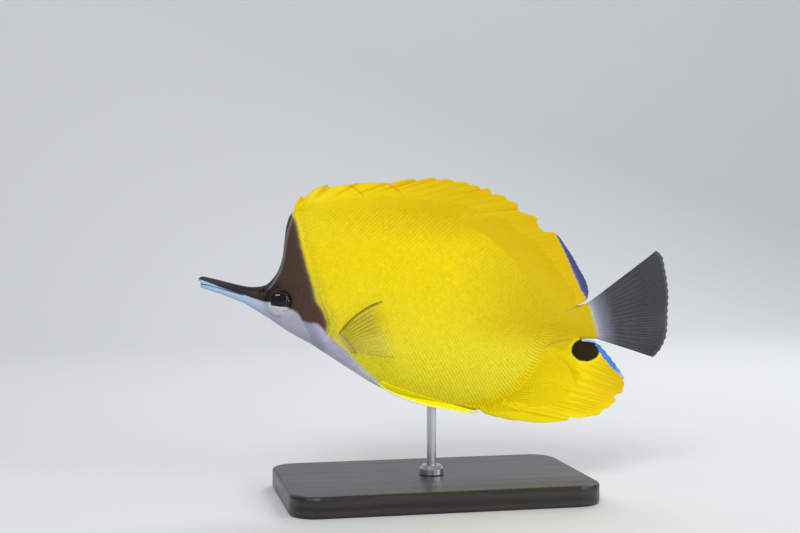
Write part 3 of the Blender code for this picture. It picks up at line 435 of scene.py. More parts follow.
def fish_place(finish):
    """Where a shaded point lies in the fish's frame, in millimetres: the vector, its x and its z. A Mapping
    node undoes the tip and the shift onto the stand."""
    back = -TIP.T @ SHIFT
    place = finish.add("Mapping", {"Vector": finish.add("TexCoord", out=3), "Location": back.tolist(),
                                   "Rotation": (0, -NOSE_UP, 0), "Scale": (1000, 1000, 1000)})
    x, _, z = finish.split(place)
    return place, x, z


def stroke(finish, x, z, points, width):
    """Nearness to a line in the side view through points that run tailwards: 1 on it, 0 at its width."""
    heights = [point[1] for point in points]
    line = finish.curve(x, points, points[0][0], points[-1][0], min(heights) - 1, max(heights) + 1)
    near = finish.step(finish.math("ABSOLUTE", finish.minus(z, line)), width, 0.0)
    within = finish.times(finish.step(x, points[0][0] - 0.3, points[0][0] + 0.9),
                          finish.step(x, points[-1][0] + 0.3, points[-1][0] - 1.5))
    return finish.times(near, within)


def crease_shaded(finish, x, z, colour):
    """A colour with darker, pinkish-tan lines laid over it along the two creases that run onto the tail stem,
    above and below: painted shade in the creases.
    """
    near = finish.larger(stroke(finish, x, z, STEM_CREASE, 0.75),
                         stroke(finish, x, z, BACK_CREASE, 0.6))
    return finish.mix(finish.times(near, 0.7), colour, CREASE_SHADE)


def body_colour(finish, place, x, z):
    """The colour of skin and scales at a side-view place: three regions with soft edges, each with its own
    gradients, and a fine mottling."""
    mottle = finish.noise(place, 0.35, 3.0, 0.6)
    wander = finish.math("MULTIPLY_ADD", mottle, 1.2, -0.6)
    behind_mask = finish.minus(x, finish.curve(z, [(b, a) for a, b in MASK_REAR], -15, 30, 20, 50))
    behind_mask = finish.plus(behind_mask, finish.times(wander, 0.8))
    above_pale = finish.minus(z, finish.curve(x, PALE_TOP, 0, 68, -36, 2))
    above_pale = finish.plus(above_pale, finish.times(wander, 0.35))
    # Yellow: deep over the back, greener and paler low on the flank, greyed where it meets the mask
    # Greener and paler low on the flank; the paleness is a painted sheen and painted fill light.
    low = finish.step(z, 14.0, -22.0)
    yellow = finish.mix(low, YELLOW, YELLOW_LOW_LIT)
    near_mask = finish.step(behind_mask, 5.5, 0.2, 0.0, 0.75)
    near_mask = finish.times(near_mask, finish.step(z, 12.0, -6.0, 0.35, 1.0))
    yellow = finish.mix(near_mask, yellow, YELLOW_GREY)
    yellow = finish.mix(finish.step(mottle, 0.35, 0.75, 0.0, 0.12), yellow, paint(214, 186, 10))
    # Gold: over the rear of the back and, behind a ragged slanting front, round the foot of the anal fin
    gold_front = finish.curve(z, [(b, a) for a, b in GOLD_FRONT], -36, -10, 80, 126)
    behind_gold = finish.minus(x, gold_front)
    behind_gold = finish.math("MULTIPLY_ADD", wander, 2.6, behind_gold)
    low_gold = finish.times(finish.step(behind_gold, -2.2, 2.2), finish.step(z, -6.0, -12.0))
    high_gold = finish.times(finish.step(x, 78.0, 119.0), finish.step(z, -16.0, -2.0))
    ridge_gold = finish.times(finish.step(x, 34.0, 84.0, 0.25, 0.85), finish.step(z, 17.0, 31.0))
    high_gold = finish.larger(high_gold, finish.times(ridge_gold, finish.step(x, 30.0, 36.0)))
    yellow = finish.mix(finish.times(high_gold, 0.92), yellow, GOLD)
    # Lighter gold low down: painted fill light against the shade under the body.
    gold = finish.mix(finish.step(z, 0.0, -20.0), GOLD, GOLD_LOW_LIT)
    yellow = finish.mix(finish.times(low_gold, 0.92), yellow, gold)
    yellow = crease_shaded(finish, x, z, yellow)
    # Brown: deepest round the eye, mauve along the forehead, reddish towards the gill flap's tip
    deep = finish.step(z, 6.0, -3.0)
    brown = finish.mix(finish.times(deep, finish.step(x, 36.0, 26.0)), BROWN, BROWN_DEEP)
    aside, aloft = finish.minus(x, EYE_X - 2.0), finish.minus(z, EYE_Z)
    near_eye = finish.plus(finish.times(aside, aside), finish.times(aloft, aloft))
    brown = finish.mix(finish.step(near_eye, 44.0, 15.0, 0.0, 0.85), brown, paint(34, 26, 24))
    red = finish.times(finish.step(x, 37.0, 41.5), finish.step(z, 0.0, -8.0))
    brown = finish.mix(finish.times(red, 0.7), brown, BROWN_RED)
    brown = finish.mix(finish.step(x, 21.0, 16.0), brown, SLATE)
    brown = finish.mix(finish.step(behind_mask, -1.8, 0.0, 0.0, 0.55), brown, MAUVE)
    off_brow = finish.minus(x, finish.curve(z, [(b, a) for a, b in BROW_LINE], -1, 26, 20, 30))
    outside = finish.times(finish.step(off_brow, -0.1, -0.5), finish.step(z, -1.0, 0.4))
    brown = finish.mix(finish.times(outside, 0.8), brown, paint(58, 56, 56))
    # A light grey line along the forehead's edge: a painted highlight where light catches that edge.
    brow_highlight = finish.times(finish.step(finish.math("ABSOLUTE", off_brow), 0.62, 0.1), finish.step(z, -1.0, 0.6))
    brown = finish.mix(finish.times(brow_highlight, 0.75), brown, paint(122, 122, 120))
    # Pale: blue on the jaw, silver on the cheek, bluer behind its edge, mauve and then white on the chest
    pale = finish.mix(finish.step(x, 15.0, 27.0), JAW_BLUE, CHEEK_GREY)
    cheek_edge = finish.curve(z, [(b, a) for a, b in CHEEK_EDGE[3:]], -18, -7, 30, 44)
    behind_cheek = finish.minus(x, cheek_edge)
    pale = finish.mix(finish.step(behind_cheek, -0.3, 0.5), pale, CHEEK_BLUE)
    # Mauve on the chest, lightened as painted fill light against the shade under it.
    pale = finish.mix(finish.step(behind_cheek, 2.0, 5.5), pale, CHEST_MAUVE_LIT)
    pale = finish.mix(finish.step(x, 50.0, 60.0), pale, CHEST_WHITE)
    soft = finish.step(x, 14.0, 40.0, 0.25, 0.75)
    masked = finish.mix(finish.step(behind_mask, -0.7, 0.7), brown, yellow)
    return finish.mix(finish.step(finish.math("DIVIDE", above_pale, soft), -1.0, 1.0), pale, masked)


skin_finish = Finish("fish_skin", Roughness=0.45, Specular_IOR_Level=0.12, Coat_Weight=0.02,
                     Coat_Roughness=0.25)
place, x_mm, z_mm = fish_place(skin_finish)
colour = body_colour(skin_finish, place, x_mm, z_mm)
pores = skin_finish.noise(place, 2.6, 4.0, 0.65)
grain = skin_finish.add("TexVoronoi", {"Vector": place, "Scale": 1.5})
height = skin_finish.math("MULTIPLY_ADD", grain, 0.35, pores)
skin_finish.set(skin_finish.shader, {"Base Color": colour, "Normal": skin_finish.bump(height, 0.00006, 0.6)})
skin_finish.wear(skin)
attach(skin, "root")
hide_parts("upper_jaw", "lower_jaw", "snout", "head", "gill_cover_left", "gill_cover_right", "trunk",
            "tail_stem")

# The eyes: a glass-clear cornea set into the rim of the orbit, over an eyeball with a sunken iris and a
# raised pupil, as an eye maker casts them. The pupil is a long oval that sits a little high, and the dark
# iris turns silver below it.
PUPIL_RADIUS, PUPIL_LONG, PUPIL_AHEAD, PUPIL_HIGH, IRIS_RADIUS = 2.15, 1.24, 0.35, 0.55, 3.45
EYE_SEAT, EYE_BULGE, CORNEA_DEPTH, CORNEA_BACK = 4.55, 1.45, 0.18, 0.9
IRIS_STEP, PUPIL_EDGE, EYE_FLOOR = 0.30, 0.12, 3.4
EYE_TURN = np.linspace(0, 2 * np.pi, 96, endpoint=False)


def turned_eye(name, radii, heights, side):
    """A closed solid of rings round the eye's own axis: radii of the rings, and for each ring its distances
    from the middle of the head, the first and last of them poles on the axis."""
    across, up = (np.asarray(radii)[1:-1, None] * way(EYE_TURN) for way in (np.cos, np.sin))
    rings = np.stack([EYE_X + across, side * heights[1:-1], EYE_Z + up], -1)
    return closed_tube(name, rings, *((EYE_X, side * pole[0], EYE_Z) for pole in (heights[0], heights[-1])))


r = np.linspace(0, IRIS_RADIUS, 60)
dome = EYE_SEAT + EYE_BULGE * np.sqrt(1 - (r / (IRIS_RADIUS + 0.05)) ** 2)
dome = np.repeat(dome[:, None], len(EYE_TURN), 1)
off_pupil = np.hypot((r[:, None] * np.cos(EYE_TURN) + PUPIL_AHEAD) / PUPIL_LONG,
                     r[:, None] * np.sin(EYE_TURN) - PUPIL_HIGH) - PUPIL_RADIUS
sunken = ease(off_pupil, -PUPIL_EDGE, PUPIL_EDGE) * ease(r, IRIS_RADIUS, IRIS_RADIUS - 0.5)[:, None]
iris = dome - CORNEA_DEPTH - IRIS_STEP * sunken
floor = np.full((1, len(EYE_TURN)), EYE_FLOOR)
eye_finish = Finish("eye_iris", Roughness=0.45, Specular_IOR_Level=0.1)
place, x_mm, z_mm = fish_place(eye_finish)
aside = eye_finish.math("DIVIDE", eye_finish.minus(x_mm, EYE_X - PUPIL_AHEAD), PUPIL_LONG)
aloft = eye_finish.minus(z_mm, EYE_Z)
above_pupil = eye_finish.minus(aloft, PUPIL_HIGH)
reach = eye_finish.plus(eye_finish.times(aside, aside), eye_finish.times(above_pupil, above_pupil))
reach = eye_finish.math("SQRT", reach)
angle = eye_finish.math("ARCTAN2", aloft, aside)
turned = eye_finish.add("CombineXYZ", {0: eye_finish.times(angle, 5.0), 1: eye_finish.times(reach, 0.7)})
spokes = eye_finish.noise(turned, 2.4, 3.0)
iris_brown = eye_finish.mix(spokes, paint(26, 18, 16), paint(62, 44, 38))
iris_brown = eye_finish.mix(eye_finish.step(aloft, 1.6, 2.6, 0.0, 0.8), iris_brown, paint(84, 60, 52))
iris_brown = eye_finish.mix(eye_finish.step(aloft, -0.4, -1.4, 0.0, 0.8), iris_brown, paint(66, 32, 32))
crescent = eye_finish.times(eye_finish.step(reach, PUPIL_RADIUS + 0.02, PUPIL_RADIUS + 0.14),
                            eye_finish.step(aloft, -1.45, -1.8))
crescent = eye_finish.times(crescent, eye_finish.math("MULTIPLY_ADD", spokes, 0.5, 0.75, clamp=True))
iris_colour = eye_finish.mix(crescent, iris_brown, paint(240, 242, 242))
pupil = eye_finish.step(reach, PUPIL_RADIUS + 0.04, PUPIL_RADIUS - 0.06)
eye_finish.set(eye_finish.shader, {
    "Base Color": eye_finish.mix(pupil, iris_colour, paint(8, 10, 24)),
    "Metallic": eye_finish.times(crescent, 0.35),
    "Normal": eye_finish.bump(spokes, 0.00004, 0.5)})
cornea_finish = Finish("eye_cornea", Base_Color=(1, 1, 1, 1), Roughness=0.03, IOR=1.34,
                       Transmission_Weight=1.0)
for side, name in ((-1, "left"), (1, "right")):
    eyeball = turned_eye("eyeball_" + name, [*r, IRIS_RADIUS, 0], np.vstack([iris, floor, floor]), side)
    eye_finish.wear(eyeball)
    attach(eyeball, "root")
    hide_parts("eye_" + name)
    cornea = turned_eye("cornea_" + name, [*r, *r[::-1]], np.vstack([dome, dome[::-1] - CORNEA_BACK]), side)
    cornea_finish.wear(cornea)
    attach(cornea, "root")

# The scales: thin round-ended plates of horn that lie like tiles from head to tail, each rooted in the skin
# and free at its rear edge. They shrink towards the tail stem and are small on cheek and gill flap.
PLATE_LIFT, PLATE_SINK, PLATE_DEPTH, PLATE_ASTRAY = 0.085, 0.04, 0.16, 0.12
PLATE_LONG, PLATE_WIDE = 4, 5
PLATE_RIM = np.array((0, 1, 2, 3, 4, 9, 14, 19, 18, 17, 16, 15, 10, 5))
BODY_PITCH, BODY_ROW, HEAD_PITCH, HEAD_ROW = 1.42, 0.84, 0.98, 0.60
PATCH = 0.003


def find_on(surface, x, z, p, q, p_limits, q_limits, steps=6):
    """The parameters p and q at which surface(p, q) has the side-view place x, z, by Newton's method from a
    guess, with differences for slopes. The limits clamp them."""
    step = 1e-3
    for _ in range(steps):
        here, over, up = surface(p, q), surface(p + step, q), surface(p, q + step)
        a, b = (over[0] - here[0]) / step, (up[0] - here[0]) / step
        c, d = (over[1] - here[1]) / step, (up[1] - here[1]) / step
        det = a * d - b * c
        det = np.where(np.abs(det) < 1e-6, 1e-6, det)
        dx, dz = x - here[0], z - here[1]
        p = np.clip(p + np.clip((d * dx - b * dz) / det, -0.5, 0.5), *p_limits)
        q = np.clip(q + np.clip((a * dz - c * dx) / det, -0.2, 0.2), *q_limits)
    return p, q


def nearest_guess(surface, x, z, p_list, q_list):
    """For each place the parameters of the nearest sample of the surface."""
    p, q = (a.ravel() for a in np.meshgrid(p_list, q_list, indexing="ij"))
    sample = surface(p, q)
    best = np.empty(len(x), int)
    for k in range(0, len(x), 500):
        apart = (x[k:k + 500, None] - sample[0]) ** 2 + (z[k:k + 500, None] - sample[1]) ** 2
        best[k:k + 500] = apart.argmin(1)
    return p[best], q[best]


def plates(name, x, z, length, width, lean, surface, dressed, limits, guess, side, unwrap, seed, relief):
    """One mesh of closed scales. A scale is a grid of 4 by 5 points: its outline is a shield whose rear edge
    is a parabola, its top rises from the root to the rear edge and is domed across, and a wall and a fan
    close it below. Every point is carried along the surface to its own place and lifted along the surface's
    normal there; relief scales both the lift and the root's sink. A scale with a point that lands astray of
    its place is left out. lean is the scale's direction in the side view; unwrap gives each root its place
    on the coat's own map."""
    draw = np.random.default_rng(seed)
    count, top_points, rim_points = len(x), PLATE_LONG * PLATE_WIDE, len(PLATE_RIM)
    a, b = np.meshgrid(np.linspace(0, 1, PLATE_LONG), np.linspace(-1, 1, PLATE_WIDE), indexing="ij")
    a, b = a.ravel(), b.ravel()
    rear = 1 - 0.46 * b ** 2
    run = (-0.5 + a * rear)[None, :] * length[:, None]
    spread = (0.5 * b * (0.82 + 0.18 * np.sin(np.pi * np.minimum(1, 0.2 + a))))[None, :] * width[:, None]
    size = 1 + 0.05 * draw.standard_normal((count, 1))
    lean = (lean + np.radians(4.0) * draw.standard_normal(count))[:, None]
    px = (x[:, None] + size * (run * np.cos(lean) - spread * np.sin(lean))).ravel()
    pz = (z[:, None] + size * (run * np.sin(lean) + spread * np.cos(lean))).ravel()
    p, q = find_on(surface, px, pz, *(np.repeat(g, top_points) for g in guess), *limits)
    landed = surface(p, q)
    whole = (np.hypot(landed[0] - px, landed[1] - pz) < PLATE_ASTRAY).reshape(count, top_points).all(1)
    p, q = (g[np.repeat(whole, top_points)] for g in (p, q))
    length, relief = (np.broadcast_to(g, count)[whole][:, None] for g in (length, relief))
    guess = [g[whole] for g in guess]
    count = len(length)
    step = 2e-3
    here, over, up = (np.stack([s[0], -s[2], s[1]], -1) for s in (
        surface(p, q)[:3], surface(p + step, q)[:3], surface(p, q + step)[:3]))
    normal = np.cross(over - here, up - here)
    normal = normal / np.maximum(np.linalg.norm(normal, axis=1, keepdims=True), 1e-12)
    normal = normal * np.where(normal[:, 1:2] > 0, -1, 1)
    bed = dressed(p, q)
    lift = (a ** 1.3 * (1 - 0.30 * b ** 2))[None, :] * PLATE_LIFT * (length / BODY_PITCH) ** 0.7
    lift = (lift * (1 + 0.15 * draw.standard_normal((count, 1))) - PLATE_SINK) * relief
    top = (bed + normal * lift.reshape(-1, 1)).reshape(count, top_points, 3)
    low = (bed - normal * PLATE_DEPTH).reshape(count, top_points, 3)
    middle = low[:, 7:13].mean(axis=1, keepdims=True)
    vertices = np.concatenate([top, low[:, PLATE_RIM], middle], axis=1)
    here = top_points + np.arange(rim_points)
    following = np.roll(here, -1)
    cells = grid_faces(PLATE_LONG, PLATE_WIDE)
    wall = np.stack([PLATE_RIM, np.roll(PLATE_RIM, -1), following, here], -1)
    under = np.stack([np.full(rim_points, top_points + rim_points), here, following], -1)
    first = (np.arange(count) * vertices.shape[1])[:, None, None]
    if side > 0:
        vertices = vertices * (1, -1, 1)
        cells, wall, under = cells[:, ::-1], wall[:, ::-1], under[:, ::-1]
    quads = (first + np.vstack([cells[:, ::-1], wall])[None]).reshape(-1, 4)
    piece = make_mesh(name, vertices, [quads, (first + under[None]).reshape(-1, 3)])
    corner = np.empty(len(piece.data.loops), np.int32)
    piece.data.loops.foreach_get("vertex_index", corner)
    ahead, across = np.concatenate([a, a[PLATE_RIM], [0.4]]), np.concatenate([b, b[PLATE_RIM], [0]])
    local = np.stack([ahead - 0.5, across / 2], -1)
    local[-1] = 0
    patches = (np.stack(unwrap(*guess, side), -1)[:, None, :] + local[None] * PATCH).reshape(-1, 2)
    piece.data.uv_layers.new(name="OFBake")
    piece.data.uv_layers["OFBake"].data.foreach_set("uv", patches[corner].astype(np.float32).ravel())
    marks = np.stack(np.broadcast_arrays(draw.random((count, 1)), ahead, np.abs(across)), -1)
    tint = piece.data.attributes.new("scale", "FLOAT_VECTOR", "POINT")
    tint.data.foreach_set("vector", marks.astype(np.float32).ravel())
    return piece


def body_middle(x):
    """Height of the body's middle line and of the body above and below it, at x."""
    keel_z = np.interp(x, RIBS[:, 0], RIBS[:, 1])
    ridge_z = np.interp(x, RIBS[:, 2], RIBS[:, 3])
    return (keel_z + ridge_z) / 2, ridge_z - keel_z


def lattice(start, stop, pitch, row, shrink, tall):
    """Staggered rows of places that converge towards the tail: along the body the step is pitch, across it
    row, and both shrink with a power of the body's height over tall."""
    xs = [start]
    while xs[-1] < stop:
        xs.append(xs[-1] + pitch / 2 * (0.5 + 0.5 * (body_middle(xs[-1])[1] / tall) ** shrink))
    xs = np.array(xs)
    middle, height = body_middle(xs)
    squeeze = (height / tall) ** shrink
    i, j = np.meshgrid(np.arange(len(xs)), np.arange(-60, 61), indexing="ij")
    keep = (i + j) % 2 == 0
    x = xs[i][keep]
    z = (middle[i] + j * row * squeeze[i])[keep]
    slope = np.gradient(middle, xs)[i][keep] + (j * row)[keep] * np.gradient(squeeze, xs)[i][keep]
    return x, z, squeeze[i][keep], np.arctan(slope)


def unwrap_skin(u, t, side):
    """The skin's own map: length along the body across, and the way round it up, the left side in the lower
    half."""
    return 0.02 + 0.96 * u / STEM_END, 0.25 + side * (0.01 + 0.22 * t)


def horn(name, colour_of, contrast):
    """The finish of scales over any ground: a darker root, painted shade where each scale tucks under the
    free edge of the one in front, growth rings as fine relief and a small change of tint from scale to scale,
    the shade and the tint both by the given contrast."""
    finish = Finish(name, Roughness=0.40, Specular_IOR_Level=0.10, Coat_Weight=0.02, Coat_Roughness=0.2)
    place, x, z = fish_place(finish)
    colour = colour_of(finish, place, x, z)
    scale_tint, ahead, _ = finish.marks("scale")
    dark = finish.mix(1.0, colour, paint(222, 216, 205), blend="MULTIPLY")
    colour = finish.mix(finish.times(scale_tint, 1.4 * contrast), colour, dark)
    # Darker towards each scale's root: painted shade where it tucks under the scale in front of it.
    colour = finish.mix(finish.step(ahead, 0.55, 0.25, 0.0, contrast), colour, dark)
    rings = finish.math("SINE", finish.times(ahead, 42.0))
    grain = finish.noise(place, 9.0, 2.0)
    relief = finish.math("MULTIPLY_ADD", rings, 0.25, grain)
    finish.set(finish.shader, {"Base Color": colour, "Normal": finish.bump(relief, 0.00002, 0.5)})
    return finish


skin_scales = horn("skin_scales", body_colour, 0.18)
BODY_LIMITS = ((4.9, 23.98), (0.004, 0.996))


def on_body(x, z, steps):
    """The rib and height parameters of side-view places on the body."""
    guess = nearest_guess(rib_point, x, z, np.linspace(4, 24, 90), np.linspace(0.01, 0.99, 60))
    return find_on(rib_point, x, z, *guess, *BODY_LIMITS, steps=steps)


def dress(name, x, z, keep, length, width, lean, side, seed):
    """Scales at the kept places of the body, as one piece of the coat."""
    x, z, length, width, lean = (g[keep] for g in (x, z, length, width, lean))
    u, t = on_body(x, z, 10)
    found = rib_point(u, t)
    depth = np.minimum(t, 1 - t) * found[3]
    # Along the fins' feet the scales stop short of the outline, where the sheath takes over, and lie flatter
    finned = np.where(t > 0.5, ease(u, 12.3, 12.8) * ease(u, 23.2, 22.9),
                      ease(u, 18.8, 19.2) * ease(u, 23.4, 23.1))
    good = (np.hypot(found[0] - x, found[1] - z) < 0.05) & (depth > 0.35 + 1.3 * finned)
    x, z, length, width, lean, u, t = (g[good] for g in (x, z, length, width, lean, u, t))
    finned, depth = finned[good], depth[good]
    relief = 0.8 * (1 - 0.6 * ease(x, 84, 112)) * (1 - 0.4 * ease(z, -6, -26))
    relief = relief * (1 - 0.5 * finned * ease(depth, 7.0, 1.5))
    piece = plates(name, x, z, length, width, lean, rib_point, skin_point, BODY_LIMITS, (u, t), side,
                   unwrap_skin, seed, relief)
    skin_scales.wear(piece)
    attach(piece, "root")


def behind_head(x, z):
    """How far a place lies behind the gill flap's edge or, higher up, behind the mask."""
    return np.where(z < 1.6, signed_gap(x, z, GILL_EDGE), signed_gap(x, z, MASK_REAR[::-1]))


x, z, squeeze, lean = lattice(27.0, 140.5, BODY_PITCH, BODY_ROW, 0.55, 66.0)
length, width = 1.50 * BODY_PITCH * (0.5 + 0.5 * squeeze), 2.35 * BODY_ROW * squeeze
behind = behind_head(x, z) > 1.2
for side, word in ((-1, "left"), (1, "right")):
    dress("back_scales_" + word, x, z, behind & (z >= 3.0), length, width, lean, side, 11)
    dress("belly_scales_" + word, x, z, behind & (z < 3.0), length, width, lean, side, 12)
x, z, squeeze, lean = lattice(22.0, 46.0, HEAD_PITCH, HEAD_ROW, 0.35, 44.0)
grow = 0.55 + 0.45 * ease(x, 24.0, 34.0)
on_head = (behind_head(x, z) <= 0.3) & (x > 24.5) & (np.hypot(x - EYE_X, z - EYE_Z) > ORBIT_RADIUS + 0.5)
on_head &= np.abs(signed_gap(x, z, GILL_EDGE)) > 0.25
length, width = 1.4 * HEAD_PITCH * grow, 2.2 * HEAD_ROW * grow
for side, word in ((-1, "left"), (1, "right")):
    dress("head_scales_" + word, x, z, on_head, length, width, lean - 0.25, side, 13)

# The dorsal fin: twelve stout spines that lie back over one another, each with a membrane notched behind its
# tip, then soft rays that branch towards a rounded edge with a blue margin. Its root fairs into the back.

# Each spine: base x, tip x, tip z, depth of the notch behind the tip, bulge of the membrane's edge behind it
DORSAL_SPINES = np.array([
    (29.9, 31.0, 31.6, 0.6, 0.9), (32.6, 39.1, 36.5, 0.9, 0.0), (36.0, 49.1, 38.1, 0.0, 0.3),
    (40.2, 59.2, 39.3, 0.1, 0.4), (45.0, 68.4, 41.9, 0.8, 0.35), (50.4, 75.4, 43.1, 0.7, 0.3),
    (56.2, 81.6, 43.1, 0.6, 0.3), (62.2, 87.3, 42.8, 0.8, 0.3), (67.8, 91.3, 42.0, 1.1, 0.2),
    (73.2, 95.2, 41.7, 2.0, 0.3), (78.6, 100.9, 39.8, 1.3, 0.2), (83.6, 105.8, 37.7, 2.1, 0.0),
])
DORSAL_FRONT, DORSAL_CLOSE = (28.9, 29.6, 30.1), (86.0, 106.9, 35.4)
DORSAL_RAYS, DORSAL_SOFT_BASE = 23, (86.7, 130.4)
DORSAL_SOFT_EDGE = ((106.97, 35.1), (110.0, 34.5), (113.0, 33.7), (113.7, 31.5), (116.4, 29.3), (120.5, 29.0),
                    (124.9, 25.0), (129.3, 19.4), (132.8, 14.9), (134.5, 11.2), (134.9, 8.7), (134.3, 7.0),
                    (132.9, 6.0))
MEMBRANE_HALF, RAY_RISE, SPINE_ROOT, SPINE_TIP, SPINE_FOLD = 0.17, 0.17, 0.60, 0.36, 0.20
FAIR_DEPTH, FAIR_HIDDEN, FAIR_FRONT = 2.4, 0.8, 0.5
WEB_STEPS = ((0.07, 0.0), (0.2, 0.14), (0.35, 0.30), (0.5, 0.46), (0.65, 0.62), (0.8, 0.78), (0.93, 0.96))
BLUE_FROM = 112
DORSAL_BLUE = ((6.5, 7.5, 8.8, 11.4, 16, 23, 28.3, 28.9), (0, 0.6, 1.5, 2.7, 2.6, 1.5, 0.5, 0))


def unit(vectors):
    """The same directions with length 1."""
    return vectors / np.linalg.norm(vectors, axis=-1, keepdims=True)


def along_length(points, share):
    """Points on a Catmull-Rom curve at shares of its length."""
    u = np.linspace(0, len(points) - 1, 40 * (len(points) - 1) + 1)
    dense = along(points, u)
    run = np.concatenate([[0], np.cumsum(np.linalg.norm(np.diff(dense, axis=0), axis=1))])
    return np.stack([np.interp(share, run / run[-1], dense[:, k]) for k in range(2)], -1)


def rib_at_x(x, t):
    """The rib parameter at which the keel (t 0) or the ridge (t 1) has the given x."""
    u = np.linspace(0, STEM_END, 2401)
    outline = along(RIBS, u)[:, 2 if t > 0.5 else 0]
    return np.interp(x, outline, u)


def spine_knots(spines, front, close, t):
    """Columns of a spiny fin: fin coordinate, base x, edge x and z. Spine number n stands at n, its tip
    drops by the notch within a fourteenth of the gap, and the membrane then rises in a slight arch to just
    under the next tip."""
    drop_way = -1 if t > 0.5 else 1
    rows = [(0.0, *front)]
    following = [tuple(spine[:3]) for spine in spines[1:]] + [close]
    for n, (spine, (next_root, next_x, next_z)) in enumerate(zip(spines, following), 1):
        root, tip_x, tip_z, drop, bulge = spine
        gap = 0.45 if n == len(spines) else 1.0
        notch_x, notch_z = tip_x + min(0.9, 0.2 * (next_x - tip_x)), tip_z + drop_way * drop
        rows.append((n, root, tip_x, tip_z))
        for f, share in WEB_STEPS:
            rows.append((n + f * gap, root + f * (next_root - root), notch_x + share * (next_x - notch_x),
                         notch_z + share * (next_z - notch_z) - drop_way * bulge * math.sin(math.pi * share)))
    rows.append((len(spines) + 0.46, *close))
    return np.array(rows)


def soft_knots(first, rays, base_range, edge, fringe):
    """Columns of a fin's soft part: ray number n stands at first + n, and its edge point at its share of the
    edge. The rays' tips stand out from the web by a cosine of the given height."""
    share = np.linspace(0, 1, rays * 8 + 1)
    p = first - 0.5 + rays * share
    base_x = base_range[0] + (base_range[1] - base_range[0]) * share
    points = along_length(edge, share)
    back = unit(points - np.stack([base_x, np.interp(share, (0, 1), (edge[0][1], edge[-1][1]))], -1))
    return np.column_stack([p, base_x, points + back * (fringe * (np.cos(2 * np.pi * p) - 1) / 2)[:, None]])


def flank_reach(x, z):
    """How far the skin stands from the middle plane at a side-view place."""
    x, z = np.atleast_1d(x), np.atleast_1d(z)
    return -skin_point(*on_body(x, z, 8))[..., 1]


